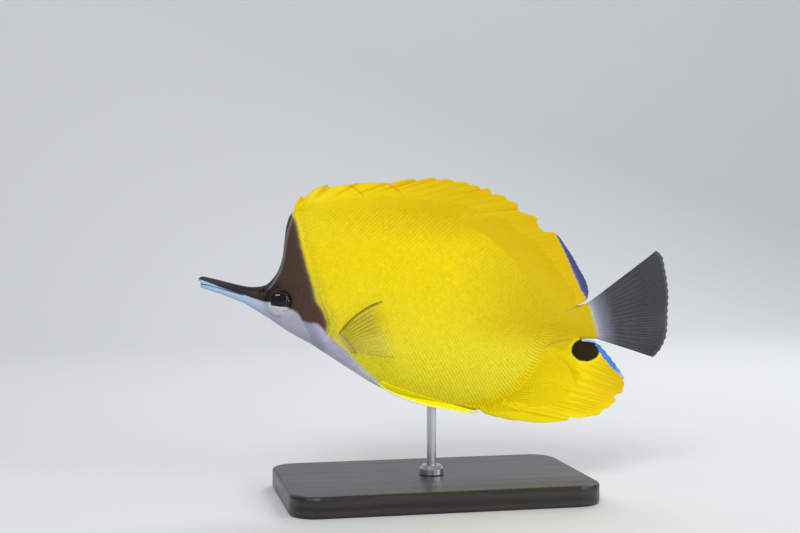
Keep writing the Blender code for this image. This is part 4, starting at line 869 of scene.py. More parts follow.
class MedianFin:
    """A fin that stands on the ridge or the keel. surface(p, q) gives its side-view place and
    half-thickness, where p counts spines and rays and q runs from the root, hidden in the body, to the edge.
    The half-thickness is a membrane, plus a root that dies away exponentially from where it meets the flank
    at the flank's own slope, plus the spines' round shafts and the rays' ridges, which fork twice; it closes
    at the edge as a half circle. Under the sheath of scales, up to cover(p) of the length, spines are only
    soft folds. knots are columns of p, base x and edge; t is 1 on the ridge and 0 on the keel; spines is
    their number, wave the edge's sway in millimetres, and fair_front 1 where the root thins out towards the
    first spine."""

    def __init__(self, knots, t, spines, wave, fair_front, cover):
        self.spines, self.wave, self.cover = spines, wave, cover
        self.p = np.linspace(knots[0, 0], knots[-1, 0], 1600)
        u = rib_at_x(np.interp(self.p, knots[:, 0], knots[:, 1]), t)
        self.base = np.stack(rib_point(u, np.full_like(u, t))[:2], -1)
        run = unit(np.gradient(self.base, axis=0))
        self.out = np.stack([-run[:, 1], run[:, 0]], -1) * (1 if t > 0.5 else -1)
        self.deep = FAIR_DEPTH + (FAIR_FRONT - FAIR_DEPTH) * ease(self.p, 3.5, self.p[0]) * fair_front
        outer, inner = (flank_reach(*(self.base - self.out * (self.deep + step)[:, None]).T)
                        for step in (-0.2, 0.2))
        self.meet, self.slope = (outer + inner) / 2, (inner - outer) / 0.4
        self.full = 1 - fair_front * 0.85 * ease(self.p, self.p[0] + 1.8, self.p[0])
        self.bare = 0.1 + 0.5 * fair_front
        self.edge = np.stack([np.interp(self.p, knots[:, 0], knots[:, k]) for k in (2, 3)], -1)
        # Inside the body the columns keep one smooth direction, between the spines' own and straight in
        spread = round(1.5 * len(self.p) / (self.p[-1] - self.p[0]))
        way = np.pad(unit(self.edge - self.base) + self.out, ((spread, spread), (0, 0)), mode="edge")
        near = np.ones(2 * spread + 1)
        self.dive = unit(np.stack([np.convolve(way[:, k], near, "valid") for k in range(2)], -1))

    def read(self, p, table):
        """The values of one of the fin's tables at p, as vectors."""
        table = table if table.ndim > 1 else table[:, None]
        return np.stack([np.interp(p, self.p, table[:, k]) for k in range(table.shape[1])], -1)

    def parts(self, p, q):
        """The side-view place, the distance along the ray from the base line, the ray's length, and the
        height over the body's outline. Inside the body the ray turns into its dive."""
        base, out, edge = (self.read(p, table) for table in (self.base, self.out, self.edge))
        way = edge - base
        length = np.linalg.norm(way, axis=-1)
        way = way / length[..., None]
        lean = np.maximum((way * out).sum(-1), 0.25)
        dive = self.read(p, self.dive)
        sink = (dive * out).sum(-1)
        start = -(self.read(p, self.deep)[..., 0] + FAIR_HIDDEN) / sink
        d = start + (length - start) * q
        inside = d < 0
        place = base + np.where(inside[..., None], dive, way) * d[..., None]
        return place, d, length, d * np.where(inside, sink, lean)

    def ray(self, p, q):
        """Closeness to the axis of the nearest spine or ray, and whether it is a spine."""
        nearest = np.round(p)
        aside = np.abs(p - nearest)
        spine = (nearest >= 1) & (nearest <= self.spines)
        fork = np.abs(aside - 0.24 * ease(q, 0.30, 0.95))
        fork = np.abs(fork - 0.11 * ease(q, 0.62, 1.0))
        return np.where(spine, aside, fork), spine

    def surface(self, p, q, ribbed=True):
        """The side-view x and z, the half-thickness and the ray's length. Without ribs it is the bed of the
        sheath, a plain membrane with the spines' soft folds."""
        place, d, length, depth = self.parts(p, q)
        aside, spine = self.ray(p, q)
        share = np.clip(d / length, 0, 1)
        base_gap, edge_gap = (np.linalg.norm(self.read(p + 0.5, line) - self.read(p - 0.5, line), axis=-1)
                              for line in (self.base, self.edge))
        pitch = base_gap * (1 - share) + edge_gap * share * 0.8
        bare = ease(share, self.cover(p) - 0.12, self.cover(p) + 0.08)
        fold = SPINE_FOLD * spine * np.exp(-(aside * pitch / 0.7) ** 2) * ease(depth, 0.2, 2.5)
        shaft = SPINE_ROOT + (SPINE_TIP - SPINE_ROOT) * share
        round_spine = bare * np.sqrt(np.clip(shaft ** 2 - (aside * pitch) ** 2, 0, None))
        ridge = RAY_RISE * np.exp(-(aside * np.maximum(pitch, 0.5) / 0.24) ** 2) * bare * (1 - 0.55 * share)
        half = np.where(spine, (MEMBRANE_HALF ** 3 + round_spine ** 3) ** (1 / 3), MEMBRANE_HALF + ridge)
        half = half + fold * (1 - bare) if ribbed else MEMBRANE_HALF + 0.06 + fold
        meet, slope = self.read(p, self.meet)[..., 0], self.read(p, self.slope)[..., 0]
        root = np.sqrt(np.maximum(meet ** 2 - MEMBRANE_HALF ** 2, 0.04))
        past = depth + self.read(p, self.deep)[..., 0]
        fair = root * np.exp(-past * np.maximum(slope, 0.25) / root)
        fair = np.where(past < 0, root + 1.6 * past, fair) * self.read(p, self.full)[..., 0]
        half = np.sqrt(half ** 2 + np.maximum(fair, 0.0) ** 2)
        ends = np.minimum(p - self.p[0], self.p[-1] - p)
        half = half * rounded(length - d, 0.5, 0.02) * rounded(ends, 0.12, 0.02)
        return place[..., 0], place[..., 1], half, length

    def sway(self, p, q):
        """How far the fin's middle plane stands off the body's: a slow wave that grows towards the edge."""
        return self.wave * np.sin(p * 1.1 + 0.6) * np.clip(q, 0, 1) ** 2

    def plain(self, p, q):
        """The surface as the sheath's bed."""
        return self.surface(p, q, ribbed=False)

    def dressed(self, p, q):
        """Points on the left face of that bed."""
        x, z, half, _ = self.plain(p, q)
        return np.stack([x, self.sway(p, q) - half, z], -1)


def fin_mesh(name, left, right, marks):
    """A closed sheet from the two faces of a fin, each columns by rows of points, joined round the edge, at
    the root and at both ends. marks are vector attributes, given on the grid of one face."""
    columns, rows = left.shape[:2]
    ring = np.concatenate([left, right[:, ::-1]], axis=1)
    j = np.arange(rows - 1)
    front = np.stack([j, j + 1, 2 * rows - 2 - j, 2 * rows - 1 - j], -1)
    rear = front[:, ::-1] + (columns - 1) * 2 * rows
    faces = np.vstack([grid_faces(columns, 2 * rows, wrap=True)[:, ::-1], front, rear])
    piece = make_mesh(name, ring, [faces])
    for key, values in marks.items():
        both = np.concatenate([values, values[:, ::-1]], axis=1).reshape(-1, 3)
        mark = piece.data.attributes.new(key, "FLOAT_VECTOR", "POINT")
        mark.data.foreach_set("vector", both.astype(np.float32).ravel())
    return piece


def off_outline(fin, x, z):
    """How far each place lies inside the fin's outline, and the height of the outline's nearest point."""
    gap, height = np.empty(x.size), np.empty(x.size)
    for k in range(0, x.size, 2000):
        some = slice(k, k + 2000)
        apart = np.hypot(x.ravel()[some, None] - fin.edge[:, 0], z.ravel()[some, None] - fin.edge[:, 1])
        gap[some], height[some] = apart.min(1), fin.edge[apart.argmin(1), 1]
    return gap.reshape(x.shape), height.reshape(x.shape)


def median_mesh(name, fin, per_ray, rows, blue):
    """The mesh of a median fin, with columns crowded at spines and rays, and the marks that its finish
    reads. blue gives the width of the blue margin as knots of height along the outline."""
    steps = np.linspace(0, 1, per_ray, endpoint=False)
    crowd = steps - 0.35 * np.sin(2 * np.pi * steps) / (2 * np.pi)
    first, last = fin.p[0], fin.p[-1]
    crowded = (np.arange(int(first), int(last) + 2)[:, None] + crowd).ravel()
    p = np.concatenate([[first, first + 0.03, first + 0.08], crowded, [last - 0.08, last - 0.03, last]])
    p = np.unique(p[(p >= first) & (p <= last)])
    q = np.concatenate([np.linspace(0, 0.3, rows // 2, endpoint=False),
                        np.linspace(0.3, 0.97, rows // 2, endpoint=False),
                        [0.97, 0.98, 0.988, 0.994, 0.998, 1.0]])
    p, q = np.meshgrid(p, q, indexing="ij")
    x, z, half, _ = fin.surface(p, q)
    y = fin.sway(p, q)
    aside, spine = fin.ray(p, q)
    _, d, length, _ = fin.parts(p, q)
    gap, height = off_outline(fin, x, z)
    margin = np.interp(height, *blue) * (x > BLUE_FROM)
    marks = {"ray": np.stack([np.exp(-(aside / 0.13) ** 2), gap, margin], -1),
             "lie": np.stack([spine * 1.0, np.clip(d / length, 0, 1), p], -1)}
    return fin_mesh(name, np.stack([x, y - half, z], -1), np.stack([x, y + half, z], -1), marks)


EYESPOT, EYESPOT_HALF = (135.9, -10.2), (5.3, 4.1)
BLUE, BLUE_LIGHT = paint(72, 74, 118), paint(70, 106, 186)
BLUE_BRIGHT, BLUE_WHITE = paint(74, 126, 212), paint(206, 218, 238)
# Two folds of the spiny dorsal membrane in the side view, along which the fins' finish paints their shade.
FRONT_CREASE = ((46.2, 36.9), (49.3, 35.7), (51.3, 34.1), (52.2, 33.0))
MIDDLE_CREASE = ((59.2, 39.2), (61.0, 38.3), (63.4, 37.1), (65.0, 36.0))


def eyespot(finish, place, x, z, colour):
    """A colour with the eyespot laid over it: a ragged black oval in a brighter yellow ring."""
    across = finish.math("DIVIDE", finish.minus(x, EYESPOT[0]), EYESPOT_HALF[0])
    aloft = finish.math("DIVIDE", finish.minus(z, EYESPOT[1]), EYESPOT_HALF[1])
    spot = finish.math("SQRT", finish.plus(finish.times(across, across), finish.times(aloft, aloft)))
    spot = finish.plus(spot, finish.math("MULTIPLY_ADD", finish.noise(place, 0.9, 3.0), 0.16, -0.08))
    below = finish.step(z, -4.6, -6.2)
    ring = finish.times(below, finish.step(spot, 1.32, 1.08, 0.0, 0.6))
    colour = finish.mix(ring, colour, paint(252, 230, 20))
    return finish.mix(finish.times(below, finish.step(spot, 1.06, 0.94)), colour, paint(40, 31, 5))


def fin_ground(finish, place, x, z):
    """The yellow of the median fins, the flank's own at the root, with the eyespot over it."""
    mottle = finish.noise(place, 0.35, 3.0, 0.6)
    # Lighter gold low on the fins: painted fill light against the shade under the fish.
    gold = finish.mix(finish.step(z, 0.0, -16.0), GOLD, GOLD_LOW_LIT)
    colour = finish.mix(finish.step(x, 34.0, 84.0, 0.22, 0.92), YELLOW, gold)
    colour = finish.mix(finish.step(mottle, 0.35, 0.75, 0.0, 0.12), colour, paint(222, 182, 0))
    tailward = finish.times(finish.step(x, 134.0, 150.0), finish.step(z, -30.0, -22.0))
    colour = finish.mix(finish.times(tailward, 0.6), colour, GOLD)
    return eyespot(finish, place, x, z, crease_shaded(finish, x, z, colour))


def fin_finish():
    """The finish of dorsal and anal fins: yellow webs, golden rays with fine joints, darker spine edges, the
    blue margin, its inner side frayed along the rays, and the eyespot, which a paler ring surrounds."""
    finish = Finish("fin_web", Roughness=0.45, Specular_IOR_Level=0.10, Coat_Weight=0.02, Coat_Roughness=0.3)
    place, x, z = fish_place(finish)
    ray, rim, blue = finish.marks("ray")
    spine, share, order = finish.marks("lie")
    colour = fin_ground(finish, place, x, z)
    golden = finish.times(ray, finish.step(share, 0.1, 0.7, 0.0, 0.32))
    colour = finish.mix(golden, colour, paint(216, 158, 0))
    front = finish.times(finish.step(order, 8.0, 4.0), spine)
    front = finish.times(front, finish.step(z, 10.0, 20.0))
    dark = finish.times(front, finish.step(share, 0.35, 0.85))
    colour = finish.mix(finish.times(dark, finish.times(ray, 0.45)), colour, paint(204, 136, 0))
    colour = finish.mix(finish.step(rim, 0.6, 0.1, 0.0, 0.2), colour, paint(236, 176, 0))
    low_edge = finish.times(finish.step(z, -26.0, -32.0), finish.step(rim, 4.0, 0.5))
    colour = finish.mix(finish.times(low_edge, 0.6), colour, paint(250, 232, 10))
    # Darker golden-brown lines where a flap of the spiny membrane lies over the next: painted shade along
    # each fold.
    fold_shade = [stroke(finish, x, z, crease, 0.5) for crease in (FRONT_CREASE, MIDDLE_CREASE)]
    fold_shade = finish.larger(*fold_shade)
    colour = finish.mix(finish.times(fold_shade, 0.6), colour, paint(178, 122, 0))
    colour = eyespot(finish, place, x, z, colour)
    high = finish.step(z, -2.0, 2.0)
    frayed = finish.times(finish.step(blue, 0.3, 0.9), finish.math("MULTIPLY_ADD", ray, 0.5, -0.15))
    inward = finish.minus(finish.plus(blue, frayed), rim)
    wide = finish.times(finish.step(inward, -0.15, 0.2), finish.step(blue, 0.02, 0.2))
    line = finish.times(wide, finish.step(inward, 1.0, 0.4))
    colour = finish.mix(wide, colour, finish.mix(high, BLUE_BRIGHT, BLUE))
    bright = finish.times(high, finish.step(z, 21.0, 16.0, 0.35, 0.85))
    colour = finish.mix(finish.times(line, bright), colour, BLUE_LIGHT)
    start = finish.larger(finish.step(x, 140.5, 133.5), finish.step(z, -15.0, -18.5, 0.0, 0.6))
    start = finish.times(finish.minus(1.0, high), start)
    colour = finish.mix(finish.times(wide, start), colour, BLUE_WHITE)
    joints = finish.math("SINE", finish.times(share, 190.0))
    fine = finish.math("MULTIPLY_ADD", finish.times(joints, ray), 0.4, finish.noise(place, 5.0, 3.0))
    finish.set(finish.shader, {"Base Color": colour, "Normal": finish.bump(fine, 0.00004, 0.5)})
    return finish


fin_web = fin_finish()
knots = np.vstack([spine_knots(DORSAL_SPINES, DORSAL_FRONT, DORSAL_CLOSE, 1),
                   soft_knots(13, DORSAL_RAYS, DORSAL_SOFT_BASE, DORSAL_SOFT_EDGE, 0.15)])
dorsal = MedianFin(knots, 1.0, len(DORSAL_SPINES), 0.35, 1.0, lambda p: 0.22 + 0.30 * ease(p, 8, 16))
dorsal_fin = median_mesh("dorsal_fin", dorsal, 14, 44, DORSAL_BLUE)
fin_web.wear(dorsal_fin)
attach(dorsal_fin, "root")
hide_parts("dorsal_fin_spiny", "dorsal_fin_soft")

# The anal fin: three stout spines, the third far longer than the others, and a deep soft part under the tail
# stem, with the black eyespot and its blue line on the corner next to the tail.
ANAL_SPINES = np.array([
    (101.0, 106.8, -36.4, 0.1, 0.2), (103.6, 113.2, -37.0, 0.2, 0.9), (106.8, 132.6, -35.3, 0.7, 0.0),
])
ANAL_FRONT, ANAL_CLOSE = (100.0, 102.6, -35.6), (108.2, 132.8, -34.5)
ANAL_RAYS, ANAL_SOFT_BASE = 18, (108.8, 133.0)
ANAL_BLUE = ((-21, -18, -15, -11, -8.5, -7.2), (0, 0.6, 1.4, 2.0, 1.4, 0.5))
ANAL_SOFT_EDGE = ((132.9, -34.15), (137.0, -34.2), (141.2, -33.3), (144.2, -32.4), (145.0, -30.8),
                  (147.0, -29.6), (149.5, -26.9), (148.7, -25.5), (151.7, -23.7), (151.6, -18.9),
                  (149.0, -15.7), (146.6, -13.0), (143.6, -10.0), (140.3, -7.6), (137.3, -6.7), (134.6, -6.8))
knots = np.vstack([spine_knots(ANAL_SPINES, ANAL_FRONT, ANAL_CLOSE, 0),
                   soft_knots(4, ANAL_RAYS, ANAL_SOFT_BASE, ANAL_SOFT_EDGE, 0.35)])
anal = MedianFin(knots, 0.0, len(ANAL_SPINES), 0.35, 0.0, lambda p: 0.34 + 0.14 * ease(p, 3, 7))
anal_fin = median_mesh("anal_fin", anal, 16, 48, ANAL_BLUE)
fin_web.wear(anal_fin)
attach(anal_fin, "root")
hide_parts("anal_fin_spiny", "anal_fin_soft")

# The sheaths: small scales, laid over one another as on the flank, that climb from the back and the belly
# onto the dorsal and the anal fin and hide their roots.
SHEATH_PITCH, SHEATH_ROW, SHEATH_RELIEF = 1.02, 0.62, 0.45
fin_scales = horn("fin_scales", fin_ground, 0.06)


def sheathe(name, fin, side, seed):
    """Scales over a fin's root: staggered rows that follow the back or the belly, from inside its edge out
    to the fin's cover. They shrink outwards and turn from the body's way to the rays'."""
    run = np.concatenate([[0], np.cumsum(np.linalg.norm(np.diff(fin.base, axis=0), axis=1))])
    steps = np.arange(1.2, run[-1] - 0.5, SHEATH_PITCH / 2)
    i, j = np.meshgrid(np.arange(len(steps)), np.arange(44), indexing="ij")
    stagger = (i + j) % 2 == 0
    p = np.interp(steps[i[stagger]], run, fin.p)
    base, out = fin.read(p, fin.base), fin.read(p, fin.out)
    rise = 0.2 - fin.read(p, fin.deep)[:, 0] + j[stagger] * SHEATH_ROW
    x, z = base[:, 0] + out[:, 0] * rise, base[:, 1] + out[:, 1] * rise
    first, last = fin.p[0] + 0.02, fin.p[-1] - 0.02
    limits = ((first, last), (0.02, 0.985))
    p, q = nearest_guess(fin.plain, x, z, np.linspace(first, last, 320), np.linspace(0.02, 0.9, 40))
    p, q = find_on(fin.plain, x, z, p, q, *limits, steps=16)
    found = fin.plain(p, q)
    _, d, length, _ = fin.parts(p, q)
    share = d / length
    ragged = fin.cover(p) + 0.03 * np.sin(7.0 * p) + 0.02 * np.sin(17.0 * p + 1.0)
    keep = (np.hypot(found[0] - x, found[1] - z) < 0.05) & (share < ragged) & (length > 2.5)
    keep &= (p > first + fin.bare) & (p < last - 0.1)
    p, q, x, z, share = (g[keep] for g in (p, q, x, z, share))
    small = 1 - 0.35 * np.clip(share / 0.6, 0, 1)
    ridge_way = fin.read(p, fin.out)
    ridge_way = np.stack([np.abs(ridge_way[:, 1]), -ridge_way[:, 0] * np.sign(ridge_way[:, 1])], -1)
    ray_way = unit(fin.read(p, fin.edge) - fin.read(p, fin.base))
    turn = np.clip(share / 0.5, 0, 1)[:, None]
    way = ridge_way * (1 - turn) + ray_way * turn

    def unwrap(p, q, side):
        """The sheath's own map: along the fin across, from root to edge up, one half for each side."""
        return 0.02 + 0.96 * (p - fin.p[0]) / (fin.p[-1] - fin.p[0]), 0.25 + side * (0.01 + 0.22 * q)

    piece = plates(name, x, z, 1.5 * SHEATH_PITCH * small, 2.35 * SHEATH_ROW * small,
                   np.arctan2(way[:, 1], way[:, 0]), fin.plain, fin.dressed, limits, (p, q), side,
                   unwrap, seed, SHEATH_RELIEF)
    fin_scales.wear(piece)
    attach(piece, "root")


for side, word in ((-1, "left"), (1, "right")):
    sheathe("dorsal_sheath_" + word, dorsal, side, 21)
    sheathe("anal_sheath_" + word, anal, side, 22)

# The tail fin: a fan of seventeen branched rays on the slanting end of the tail stem, its web smoky and a
# little see-through, with a pale band across the root.
TAIL_RAYS = 17
TAIL_EDGE = ((158.4, 27.0), (161.0, 25.0), (162.5, 20.5), (163.7, 15.3), (164.8, 10.1), (165.5, 3.0),
             (165.3, -2.6), (163.9, -7.4), (161.8, -10.6))
TAIL_MEMBRANE, TAIL_RIDGE, TAIL_SUNK = 0.13, 0.20, 1.2
RAY_COLUMNS = 12
p = np.linspace(0, TAIL_RAYS, TAIL_RAYS * RAY_COLUMNS + 1)
q = np.concatenate([np.linspace(0, 0.25, 18, endpoint=False), np.linspace(0.25, 0.985, 34),
                    [0.992, 0.997, 1.0]])
share = p / TAIL_RAYS
x, z, stem_half, _ = rib_point(np.full(len(p), STEM_END), 0.998 - 0.996 * share)
root = np.stack([x, z], -1)
edge = along_length(TAIL_EDGE, share)
pq, qq = np.meshgrid(p, q, indexing="ij")
way = edge - root
length = np.linalg.norm(way, axis=1)
d = -TAIL_SUNK + (length[:, None] + TAIL_SUNK) * qq
middle = root[:, None] + (way / length[:, None])[:, None] * d[..., None]
middle[..., 0] -= 0.16 * np.cos(2 * np.pi * pq) * ease(qq, 0.8, 1.0)
aside = np.abs(pq - np.floor(pq) - 0.5)
fork = np.abs(np.abs(aside - 0.25 * ease(qq, 0.22, 0.8)) - 0.12 * ease(qq, 0.5, 0.95))
half = TAIL_MEMBRANE + TAIL_RIDGE * np.exp(-(fork / 0.10) ** 2) * (1 - 0.6 * qq) * ease(d, 0.0, 3.0)
half = half + (stem_half[:, None] - SCALE_BED) * np.exp(-np.maximum(d, 0) / 2.6) - 0.35 * (d < -0.6)
half = half * rounded(length[:, None] - d, 0.5, 0.02) * rounded(np.minimum(pq, TAIL_RAYS - pq), 0.25, 0.05)
sway = 0.5 * np.sin(pq * 0.8) * qq ** 2
left = np.stack([middle[..., 0], sway - half, middle[..., 1]], -1)
right = np.stack([middle[..., 0], sway + half, middle[..., 1]], -1)
marks = {"ray": np.stack([np.exp(-(fork / 0.09) ** 2), length[:, None] - d, d], -1)}
tail_fin = fin_mesh("tail_fin_web", left, right, marks)
web = Finish("tail_web", Roughness=0.4, Specular_IOR_Level=0.4)
place, _, _ = fish_place(web)
ray, rim, out_mm = web.marks("ray")
smoke = web.mix(web.noise(place, 0.5, 3.0), paint(48, 48, 54), paint(66, 66, 72))
colour = web.mix(ray, smoke, paint(28, 28, 34))
band = web.math("MULTIPLY_ADD", web.noise(place, 0.5, 2.0), 2.4, 4.2)
pale = web.minus(band, out_mm)
colour = web.mix(web.step(pale, -3.8, 2.6, 0.0, 0.9), colour, paint(118, 121, 136))
colour = web.mix(web.step(out_mm, 3.6, 1.0, 0.0, 0.6), colour, paint(158, 164, 184))
colour = web.mix(web.step(out_mm, 1.2, -0.1, 0.0, 0.8), colour, paint(208, 180, 118))
colour = web.mix(web.step(rim, 1.6, 0.2, 0.0, 0.5), colour, paint(96, 98, 106))
clear = web.step(out_mm, 2.0, 9.0, 1.0, 0.86)
joints = web.times(web.math("SINE", web.times(out_mm, 9.0)), ray)
web.set(web.shader, {
    "Base Color": colour, "Alpha": web.larger(clear, web.times(ray, 0.98)),
    "Normal": web.bump(web.math("MULTIPLY_ADD", joints, 0.5, web.noise(place, 4.0, 3.0)), 0.00004, 0.5)})
web.wear(tail_fin)
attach(tail_fin, "root")
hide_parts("tail_fin")

# The pectoral fins: a clear fan on each flank behind the gill flap, fifteen rays on a fleshy root, held half
# spread so that it flares from the body. The first ray is stout and dark.
PECTORAL_RAYS, PECTORAL_FLARE, PECTORAL_CAMBER, PECTORAL_SUNK = 15, math.radians(34.0), 1.1, 0.9
PECTORAL_ROOT = ((46.6, -13.6), (49.3, -15.7), (52.6, -18.4))
PECTORAL_LEAVES = (66.0, 50.0, 34.0, 20.0, 9.0, 2.0)
PECTORAL_BENDS = (-45.0, -27.0, -14.0, -8.0, -4.0, -2.0)
PECTORAL_LENGTHS = (21.0, 18.3, 17.4, 17.2, 16.8, 15.0)
p = np.linspace(0, PECTORAL_RAYS, PECTORAL_RAYS * RAY_COLUMNS + 1)
s = np.concatenate([np.linspace(0, 0.985, 56), [0.992, 0.997, 1.0]])
share = p / PECTORAL_RAYS
root = along_length(PECTORAL_ROOT, share)
knots = np.linspace(0, 1, len(PECTORAL_LENGTHS))
leaves, bends = (np.radians(np.interp(share, knots, v)) for v in (PECTORAL_LEAVES, PECTORAL_BENDS))
length = np.interp(share, knots, PECTORAL_LENGTHS)
scallop = 1 - 0.02 * (1 - np.abs(np.sin(np.pi * p)))
steps = np.diff(s)
heading = leaves[:, None] + bends[:, None] * (s[None, 1:] - steps / 2)
stride = (length * scallop)[:, None] * steps
back, up = (np.pad(np.cumsum(stride * way(heading), axis=1), ((0, 0), (1, 0))) for way in (np.cos, np.sin))
pp, ss = np.meshgrid(p, s, indexing="ij")
aside = np.abs(pp - np.floor(pp) - 0.5)
fork = np.abs(aside - 0.22 * ease(ss, 0.35, 0.95))
ridge = np.exp(-(fork / 0.13) ** 2)
lead = ease(pp, 1.0, 0.15)
half = 0.10 + (0.08 * ridge + 0.14 * lead) * ease(ss, 0.02, 0.2) * (1 - 0.75 * ss) + 0.55 * np.exp(-ss * 12)
to_rim = (1 - ss) * length[:, None]
half = half * rounded(to_rim, 0.4, 0.02) * rounded(np.minimum(pp, PECTORAL_RAYS - pp), 0.25, 0.05)
away = flank_reach(root[:, 0], root[:, 1])[:, None] - PECTORAL_SUNK * (1 - ease(ss, 0.0, 0.06))
away = away + back * math.sin(PECTORAL_FLARE) + PECTORAL_CAMBER * np.sin(np.pi * ss)
away = away + 0.18 * np.sin(2.2 * pp) * ss ** 2
offset = -half[..., None] * (math.sin(PECTORAL_FLARE), math.cos(PECTORAL_FLARE), 0)
middle = np.stack([root[:, :1] + back * math.cos(PECTORAL_FLARE), -away, root[:, 1:] + up], -1)
marks = {"ray": np.stack([ridge, to_rim, lead], -1), "lie": np.stack([ss, pp / PECTORAL_RAYS, pp], -1)}
web = Finish("pectoral_web", Roughness=0.35, Specular_IOR_Level=0.45)
place, _, _ = fish_place(web)
ray, rim, lead_share = web.marks("ray")
share_out, around_fan, _ = web.marks("lie")
ray_colour = web.mix(web.step(around_fan, 0.60, 0.35), paint(236, 230, 136), paint(150, 140, 50))
colour = web.mix(ray, paint(184, 174, 72), ray_colour)
colour = web.mix(web.times(lead_share, 0.9), colour, paint(128, 113, 12))
# Along the fan's lower edge a dark olive and a more opaque web: a painted shadow.
low_edge = web.times(web.step(around_fan, 0.86, 1.0), web.step(share_out, 0.1, 0.5))
colour = web.mix(web.times(low_edge, 0.7), colour, paint(130, 118, 50))
colour = web.mix(web.step(share_out, 0.11, 0.05), colour, paint(214, 192, 124))
clear = web.math("MULTIPLY_ADD", ray, 0.24, 0.15)
clear = web.times(clear, web.step(rim, 0.0, 7.0, 0.10, 1.0))
lead_clear = web.times(lead_share, web.step(rim, 0.0, 2.5, 0.4, 0.8))
clear = web.larger(clear, lead_clear)
clear = web.larger(clear, web.step(share_out, 0.16, 0.04))
clear = web.larger(clear, web.times(low_edge, 0.25))
web.set(web.shader, {
    "Base Color": colour, "Alpha": clear,
    "Normal": web.bump(web.noise(place, 4.0, 3.0), 0.00004, 0.4)})
for side, word in ((-1, "left"), (1, "right")):
    flip = (1, -side, 1)
    pectoral = fin_mesh("pectoral_fin_web_" + word, (middle + offset) * flip, (middle - offset) * flip, marks)
    web.wear(pectoral)
    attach(pectoral, "root")
    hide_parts("pectoral_fin_" + word)

# The pelvic fins: a narrow blade each side, folded back along the belly behind a pale, stout spine. The
# spine and the last ray end in two points.
PELVIC_SPINE = ((61.6, -27.6), (67.5, -30.8), (74.5, -33.1), (82.5, -34.5), (91.0, -35.0), (99.9, -36.2))
PELVIC_TOP = ((63.0, -26.6), (69.0, -28.3), (76.0, -29.9), (84.0, -31.7), (92.0, -33.4), (100.3, -34.9))
PELVIC_RAYS, PELVIC_HALF, PELVIC_NOTCH, PELVIC_CLEARANCE, PELVIC_SPREAD = 6, 0.20, 4.0, 0.35, 2.5
share = np.concatenate([np.linspace(0, 0.97, 80), [0.98, 0.99, 0.996, 1.0]])
s = np.linspace(0, 1, PELVIC_RAYS * 8 + 1)
spine = along(PELVIC_SPINE, share * (len(PELVIC_SPINE) - 1))
top = along(PELVIC_TOP, share * (len(PELVIC_TOP) - 1))
aa, ss = np.meshgrid(share, s, indexing="ij")
side_place = spine[:, None] + (top - spine)[:, None] * ss[..., None]
side_place[..., 0] -= PELVIC_NOTCH * aa ** 6 * np.sin(np.pi * ss)
order = ss * PELVIC_RAYS
ridge = np.exp(-((order - np.round(order)) / 0.20) ** 2)
lead = ease(ss, 0.26, 0.06)
half = PELVIC_HALF + (0.10 * ridge + 0.34 * lead) * (1 - 0.6 * aa)
half = half * rounded(1 - aa, 0.03, 0.05) * rounded(np.minimum(ss, 1 - ss), 0.05, 0.15)
reach = flank_reach(side_place[..., 0].ravel(), side_place[..., 1].ravel()).reshape(aa.shape)
away = np.maximum(reach, PELVIC_SPREAD) + PELVIC_CLEARANCE * ease(aa, 0.02, 0.15)
away = away + half - 0.7 * ease(aa, 0.10, 0.0)
middle = np.stack([side_place[..., 0], -away, side_place[..., 1]], -1)
offset = -half[..., None] * (0, 1, 0)
marks = {"ray": np.stack([ridge, lead, aa], -1)}
web = Finish("pelvic_web", Roughness=0.45, Specular_IOR_Level=0.2)
place, _, _ = fish_place(web)
ray, lead_share, along_fin = web.marks("ray")
colour = web.mix(ray, paint(255, 246, 0), paint(250, 232, 0))
pale = web.times(lead_share, web.step(along_fin, 0.95, 0.35, 0.25, 0.9))
colour = web.mix(pale, colour, paint(230, 231, 216))
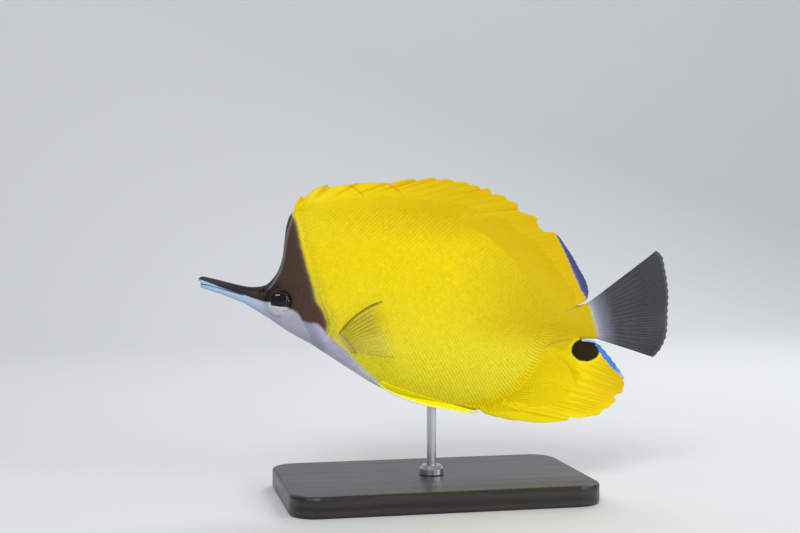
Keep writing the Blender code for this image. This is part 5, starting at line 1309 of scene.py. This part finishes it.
colour = web.mix(web.step(along_fin, 0.86, 1.0, 0.0, 0.75), colour, paint(240, 236, 190))
web.set(web.shader, {
    "Base Color": colour, "Normal": web.bump(web.noise(place, 4.0, 3.0), 0.00004, 0.5)})
for side, word in ((-1, "left"), (1, "right")):
    flip = (1, -side, 1)
    pelvic = fin_mesh("pelvic_fin_web_" + word, (middle + offset) * flip, (middle - offset) * flip, marks)
    web.wear(pelvic)
    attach(pelvic, "root")
    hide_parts("pelvic_fin_" + word)

# The stand: a base of black-stained wood with eased edges, a bright steel rod up into the belly, and a
# turned steel collar where the rod enters the base.
def stretched(finish, *scale):
    """A place in the piece's own frame, in metres, times a scale for each direction."""
    return finish.add("Mapping", {"Vector": finish.add("TexCoord", out=3), "Scale": scale})


wood = Finish("stained_wood", Roughness=0.38, Specular_IOR_Level=0.4, Coat_Weight=0.25, Coat_Roughness=0.2)
place = stretched(wood, 12.0, 160.0, 160.0)
warp = wood.noise(place, 1.0, 4.0, 0.6)
waves = {"Vector": place, "Scale": 0.6, "Distortion": 5.0, "Detail": 3.0, "Detail Scale": 1.4}
grain = wood.add("TexWave", waves, out=1, bands_direction="Z")
pores = wood.noise(stretched(wood, 150.0, 1800.0, 1800.0), 1.0, 3.0)
colour = wood.mix(grain, paint(22, 19, 18), paint(48, 40, 35))
colour = wood.mix(wood.step(pores, 0.62, 0.74, 0.0, 0.7), colour, paint(8, 7, 7))
wood.set(wood.shader, {"Base Color": colour, "Roughness": wood.math("MULTIPLY_ADD", warp, 0.2, 0.3),
                       "Normal": wood.bump(pores, 0.00015, 0.35)})
steel = Finish("turned_steel", Base_Color=paint(196, 198, 202), Metallic=1.0)
lines = steel.noise(stretched(steel, 60.0, 60.0, 4000.0), 1.0, 2.0)
steel.set(steel.shader, {"Roughness": steel.math("MULTIPLY_ADD", lines, 0.22, 0.2),
                         "Normal": steel.bump(lines, 0.00002, 0.4)})
for name, finish in (("stand_base", wood), ("stand_rod", steel), ("stand_collar", steel)):
    finish.wear(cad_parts[name])
